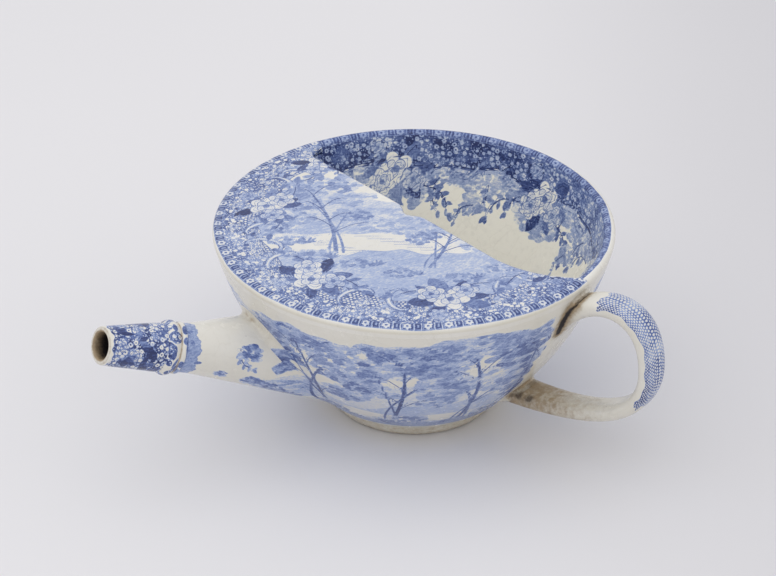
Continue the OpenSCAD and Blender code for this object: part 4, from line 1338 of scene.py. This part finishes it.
def draw_tube(p, s, a):
    """Sheet of print carried past the collar with a ragged end, a few stray sprigs on the cone, and near
    the joint the bowl's own landscape run over onto the tube's lower side."""
    art = Engraving(s, a * TUBE_MM, TURN * TUBE_MM)
    art.edge, art.inner, art.outer, art.line = (v.ravel() for v in outside_here(p))
    low = 11.0 * np.exp(-((a - 5.6) / 0.9) ** 2) + 6.0 * np.exp(-(a / 0.7) ** 2)
    ragged = 0.8 * np.sin(7 * a) + 0.6 * np.sin(12 * a + 1)
    art.wash(np.clip(off_wall(p) - low - ragged + 1.0, -3, 3), 0.0, 0.1)
    sheet = 26.7 + 0.35 * np.sin(art.y * 0.7) + 0.25 * np.sin(art.y * 1.6 + 1) + 0.15 * np.sin(art.y * 3.9)
    art.wash(sheet - art.x, 0.4, 0.5)
    for n in range(9):
        art.lay(leaf(2.6, 1.2), (25.0 + 0.5 * (n % 2), n * 6.3), 4, 0.5 + 1.7 * n, 0.55, 0.4)
    spray(art, (38.5, 38.0), 0.9, 7.5, 1, 700, 0.55)
    thicket(art, (41.5, 39.5), 7.5, 6.0, 0.5, 701)
    thicket(art, (35.0, 47.5), 5.0, 3.4, 0.42, 702)
    for n in range(6):
        thicket(art, (44.5 + 3.4 * n, 48.5 + 0.9 * n), 6.5, 4.6, 0.5, 710 + n)
        thicket(art, (46.5 + 3.4 * n, 4.5 + 1.2 * n), 6.5, 5.0, 0.42, 720 + n)
    return art.marks()


points, s, a = make_tube()
seat(skin("spout", points, loop=True, drawing=draw_tube(points, s, a)),
     "printed_ware", spout_ware, "spout_tube")


def make_mouthpiece():
    """Tapering tube with a rounded end and a round bore: one closed section turned about the spout's
    axis."""
    lip = (MOUTH_R - BORE_R) / 2
    t = np.linspace(0, np.pi, 13)
    s = np.concatenate([np.linspace(MOUTHPIECE_L, lip, 14)[:-1], lip - lip * np.sin(t),
                        np.linspace(lip, COLLAR_FRONT, 60)[1:],
                        np.linspace(COLLAR_FRONT, MOUTHPIECE_L, 6)[1:]])
    r = np.concatenate([np.full(13, BORE_R), BORE_R + lip - lip * np.cos(t),
                        np.linspace(MOUTH_R, NECK_R, 60)[1:], np.full(5, NECK_R)])
    s, r, a = np.broadcast_arrays(s[:, None], r[:, None], turns(150)[None, :])
    return on_spout(s, r, a), s, r, a


def draw_mouthpiece(s, r, a):
    """Sheet of print wrapped round the mouthpiece: lace ground, dark leaves and small pale flowers; the end
    stays bare."""
    rng = np.random.default_rng(31)
    art = Engraving(s, a * MOUTH_MM, TURN * MOUTH_MM)
    art.wash(art.x - 1.1 - 0.3 * np.sin(art.y * 0.9) - 0.2 * np.sin(art.y * 2.3), LACE_TONE, 0.5)
    for n in range(14):
        at = (2.5 + (n * 5.3) % 14, n * 2.69)
        turn = rng.uniform(0, 6.3)
        for side in (-0.7, 0.1, 0.9):
            form = leaf(rng.uniform(3.0, 5.0), rng.uniform(1.3, 2.2))
            art.lay(form, at, 5, turn + side, rng.uniform(0.6, 1.0), 0.5)
        flower_at = np.array([2.6 + (n * 4.1 + 6) % 14, n * 2.69 + 1.3])
        blossom(art, flower_at, rng.uniform(1.2, 2.2), n, 5, 0.03)
    return [np.where(r < MOUTH_R - 0.25, bare, mark) for mark, bare in zip(art.marks(), BARE)]


points, s, r, a = make_mouthpiece()
# Brown stain in the bore and a brown ring at the mouth's end; the near-black that grows deeper into the bore
# is painted shade of the hole
bore = np.clip((MOUTH_R - 0.9 - r) / 0.5, 0, 1)
ring = np.clip(1 - np.abs(s - 0.15) / 0.5, 0, 1) * (r < MOUTH_R - 0.2)
bore_stain_and_shade = (bore * np.clip(0.75 + s / 3, 0, 1) + 0.5 * ring, bore * np.clip(0.3 + s / 8, 0, 0.8), 0.0)
seat(skin("mouth_end", points, loop=True, drawing=draw_mouthpiece(s, r, a), stain_shade_and_mask=bore_stain_and_shade),
     "printed_ware", spout_ware, "mouthpiece")


def make_collar():
    """Large and small bead with a groove between them, standing on the neck and leaning off square: bead
    heights are arcs of circles, and the larger of them or the groove's floor counts."""
    def bead(x, width, height):
        """Height of an arc of this width and height over its own chord."""
        r = (width ** 2 / 4 + height ** 2) / (2 * height)
        return np.sqrt(np.maximum(r ** 2 - x ** 2, 0)) + height - r

    x = np.linspace(-BEAD_W / 2, SMALL_AT + SMALL_BEAD_W / 2, 56)
    h = np.maximum(bead(x, BEAD_W, BEAD_H), bead(x - SMALL_AT, SMALL_BEAD_W, SMALL_BEAD_H))
    h = np.maximum(h, np.where((x > 0) & (x < SMALL_AT), COLLAR_BASE, -0.05))
    back = x[::-8]
    x, h = np.concatenate([x, back]), np.concatenate([h, np.full(len(back), -0.6)])
    a = turns(150)
    r = NECK_R + h[:, None]
    lean_s = x[:, None] * np.cos(COLLAR_LEAN) + r * np.sin(a) * np.sin(COLLAR_LEAN)
    return on_spout(MOUTHPIECE_L + lean_s, r, a[None, :]), x, a


def draw_collar(x, a):
    """Print that took only in places on the beads: scraps of lace, dark leaves, a dark line behind the
    small bead."""
    rng = np.random.default_rng(47)
    art = Engraving(x[:, None], a * COLLAR_MM, TURN * COLLAR_MM)
    for n in range(13):
        y = n * 3.4
        art.lay(leaf(2.6, 1.5), (-0.6 + 0.5 * (n % 3), y - 0.9), 3, 1.1 * n, 0.75, 0.4)
        form = oval(rng.uniform(0.8, 2.0), rng.uniform(0.9, 2.4))
        art.lay(form, (rng.uniform(-2.0, 1.2), y), 3, rng.uniform(0, 3), LACE_TONE, 0.4)
        form = leaf(rng.uniform(1.6, 3.2), rng.uniform(0.7, 1.4))
        art.lay(form, (rng.uniform(-1.5, 0.8), y + 1.6), 4, rng.uniform(0, 6), rng.uniform(0.6, 0.9), 0.4)
        if n % 3:
            form = oval(0.8, rng.uniform(0.7, 1.6))
            art.lay(form, (SMALL_AT + rng.uniform(-0.3, 0.3), y + 0.8), 2, 0, rng.uniform(0.4, 0.75), 0.3)
    art.wash(art.x - SMALL_AT - 0.5 - 0.2 * np.sin(art.y), 0.6, 0.5)
    return art.marks()


points, x, a = make_collar()
groove = np.exp(-((x - BEAD_W / 2 - 0.1) / 0.35) ** 2)[:, None]
seat(skin("collar", points, loop=True, drawing=draw_collar(x, a), stain_shade_and_mask=(0.75 * groove, 0.0, 0.0)),
     "printed_ware", spout_ware, "spout_collar")

a = turns(144)
points = fillet(spout_skin, SPOUT_TO_WALL, a, 3.0)
top = np.exp(-((a - np.pi) / 0.9) ** 2)[None, :]
drawing = [np.where(top > 0.25, bare, mark) for mark, bare in zip(outside_here(points), BARE)]
across = np.concatenate([[0], np.linspace(0, 1, FILLET_ROWS), [1, 1, 1]])[:, None]
bloom = top * (0.5 - 0.9 * np.abs(across - 0.5)) + 0.05
seat(skin("spout_joint", points, loop=True, drawing=drawing, stain_shade_and_mask=(bloom, 0.0, 0.0)),
     "plain_ware", joint_ware, "spout_lute")


# Handle
STRAP_GIRTH = 26.0


def make_strap():
    """Flat-sided oval section carried along two curves that meet at the loop's outermost point."""
    a = turns(72)
    t = np.linspace(0.03, 0.97, 240)
    run = along(strap_skin(t, np.pi / 2))
    return in_wall(strap_skin(t[:, None], a[None, :])), run, STRAP_GIRTH / 2 * (a / np.pi)


def draw_strap(run, girth):
    """One torn sheet of net ground over the outer face of the loop, and past its lower end a few faint
    scraps."""
    art = Engraving(run[:, None], girth)
    x, y = art.x, art.y
    tear = 0.5 * np.sin(1.3 * y) + 0.35 * np.sin(3.1 * y + 1)
    side = 0.35 * np.sin(x / 2.1) + 0.25 * np.sin(x / 0.9 + 2) + 0.5 * np.sin(x / 7.0)
    in_from_ends = np.minimum(x - 16.6 - tear, 57.0 + 2 * tear - x)
    in_from_sides = np.minimum(y - 0.9 - side, 11.9 + side - y)
    art.wash(np.minimum(in_from_ends, in_from_sides), LACE_TONE, 0.5)
    scraps = ((60.5, 3.0), (62.5, 24.0), (64.0, 6.5), (67.0, 25.2), (70.5, 1.2))
    thickets(art, scraps, 3.4, 2.2, 0.34, 740)
    return art.marks()


points, run, girth = make_strap()
place = pair(run[:, None], np.append(girth, STRAP_GIRTH)[None, :])
brown, dark = stains_and_crack_shade(points)
grey = 0.8 * np.clip((run - run[-1] + 40) / 32, 0, 1) + 0.3 * np.clip((9.5 - run) / 7, 0, 1)
seat(skin("handle", points, place=place, drawing=draw_strap(run, girth),
          stain_shade_and_mask=(np.maximum(brown, grey[:, None]), dark, 0.0)), "printed_ware", strap_ware, "handle_strap")

for name, end, node in (("handle_upper_joint", top_end, "handle_top_lute"),
                        ("handle_lower_joint", low_end, "handle_low_lute")):
    points = fillet(end, END_REACH, ROUND, 2.0)
    brown, dark = stains_and_crack_shade(points)
    seat(skin(name, points, loop=True, stain_shade_and_mask=(np.maximum(brown, 0.3), dark, 0.0)),
         "plain_ware", plain_ware, node)


# Floor, light, camera
FLOOR_HALF = 4.0
LAMP_WHITE = (1.0, 0.985, 0.965)


def aimed(thing, at, aim):
    """Stands a lamp or the camera at a place, looking at another, in metres."""
    bpy.context.scene.collection.objects.link(thing)
    thing.location = at
    thing.rotation_euler = (Vector(aim) - Vector(at)).to_track_quat("-Z", "Y").to_euler()


def make_lamp(name, at, size, watts):
    """A round soft light aimed at the middle of the cup."""
    light = bpy.data.lights.new(name, "AREA")
    light.shape, light.size, light.energy, light.color = "DISK", size, watts, LAMP_WHITE
    aimed(bpy.data.objects.new(name, light), at, (0, 0, 0.03))


def make_floor():
    """A wide pale floor, painted a little darker towards the right of the view: painted shade where the
    light falls off.
    """
    mesh = bpy.data.meshes.new("floor")
    corners = [(x * FLOOR_HALF, y * FLOOR_HALF, 0) for x, y in ((-1, -1), (1, -1), (1, 1), (-1, 1))]
    mesh.from_pydata(corners, [], [(0, 1, 2, 3)])
    floor = bpy.data.objects.new("floor", mesh)
    bpy.context.scene.collection.objects.link(floor)
    material, b, shader = new_material("pale_floor")
    place = b.read("ShaderNodeTexCoord", "Object")
    across = b.split(stretched(b, place, PHOTO_TURN, 1.0, 1.0))[0]
    # Painted shade: lighter on the left, darker on the right
    pale = b.mix(b.ease(across, 0.0, 0.13), tint(230, 229, 231), tint(214, 213, 216))
    cloud = b.ease(b.noise(place, 3.0, 2, 0.5), 0.35, 0.65, 0.0, 0.2)
    b.plug(shader.inputs["Base Color"], b.mix(cloud, pale, tint(225, 224, 226)))
    b.plug(shader.inputs["Roughness"], 0.9)
    mesh.materials.append(material)


def make_stage():
    """The floor, soft even light from above and the left, and the camera at the photograph's angle."""
    make_floor()
    world = bpy.data.worlds.new("studio")
    world.use_nodes = True
    sky = world.node_tree.nodes["Background"]
    sky.inputs["Color"].default_value = (0.98, 0.98, 1.0, 1)
    sky.inputs["Strength"].default_value = 0.83
    bpy.context.scene.world = world
    make_lamp("overhead", (-0.4, -0.1, 1.0), 1.4, 2.8)
    make_lamp("right_fill", (0.7, -0.7, 0.7), 0.9, 0.6)
    camera = bpy.data.objects.new("camera", bpy.data.cameras.new("camera"))
    aimed(camera, (-0.4061, -0.6543, 0.4995), (-0.00607, 0.00369, 0.03366))
    camera.data.sensor_width = 36.0
    camera.data.lens = 151.2
    camera.data.clip_start = 0.01
    bpy.context.scene.camera = camera
    bpy.context.scene.view_settings.view_transform = "Standard"


make_stage()
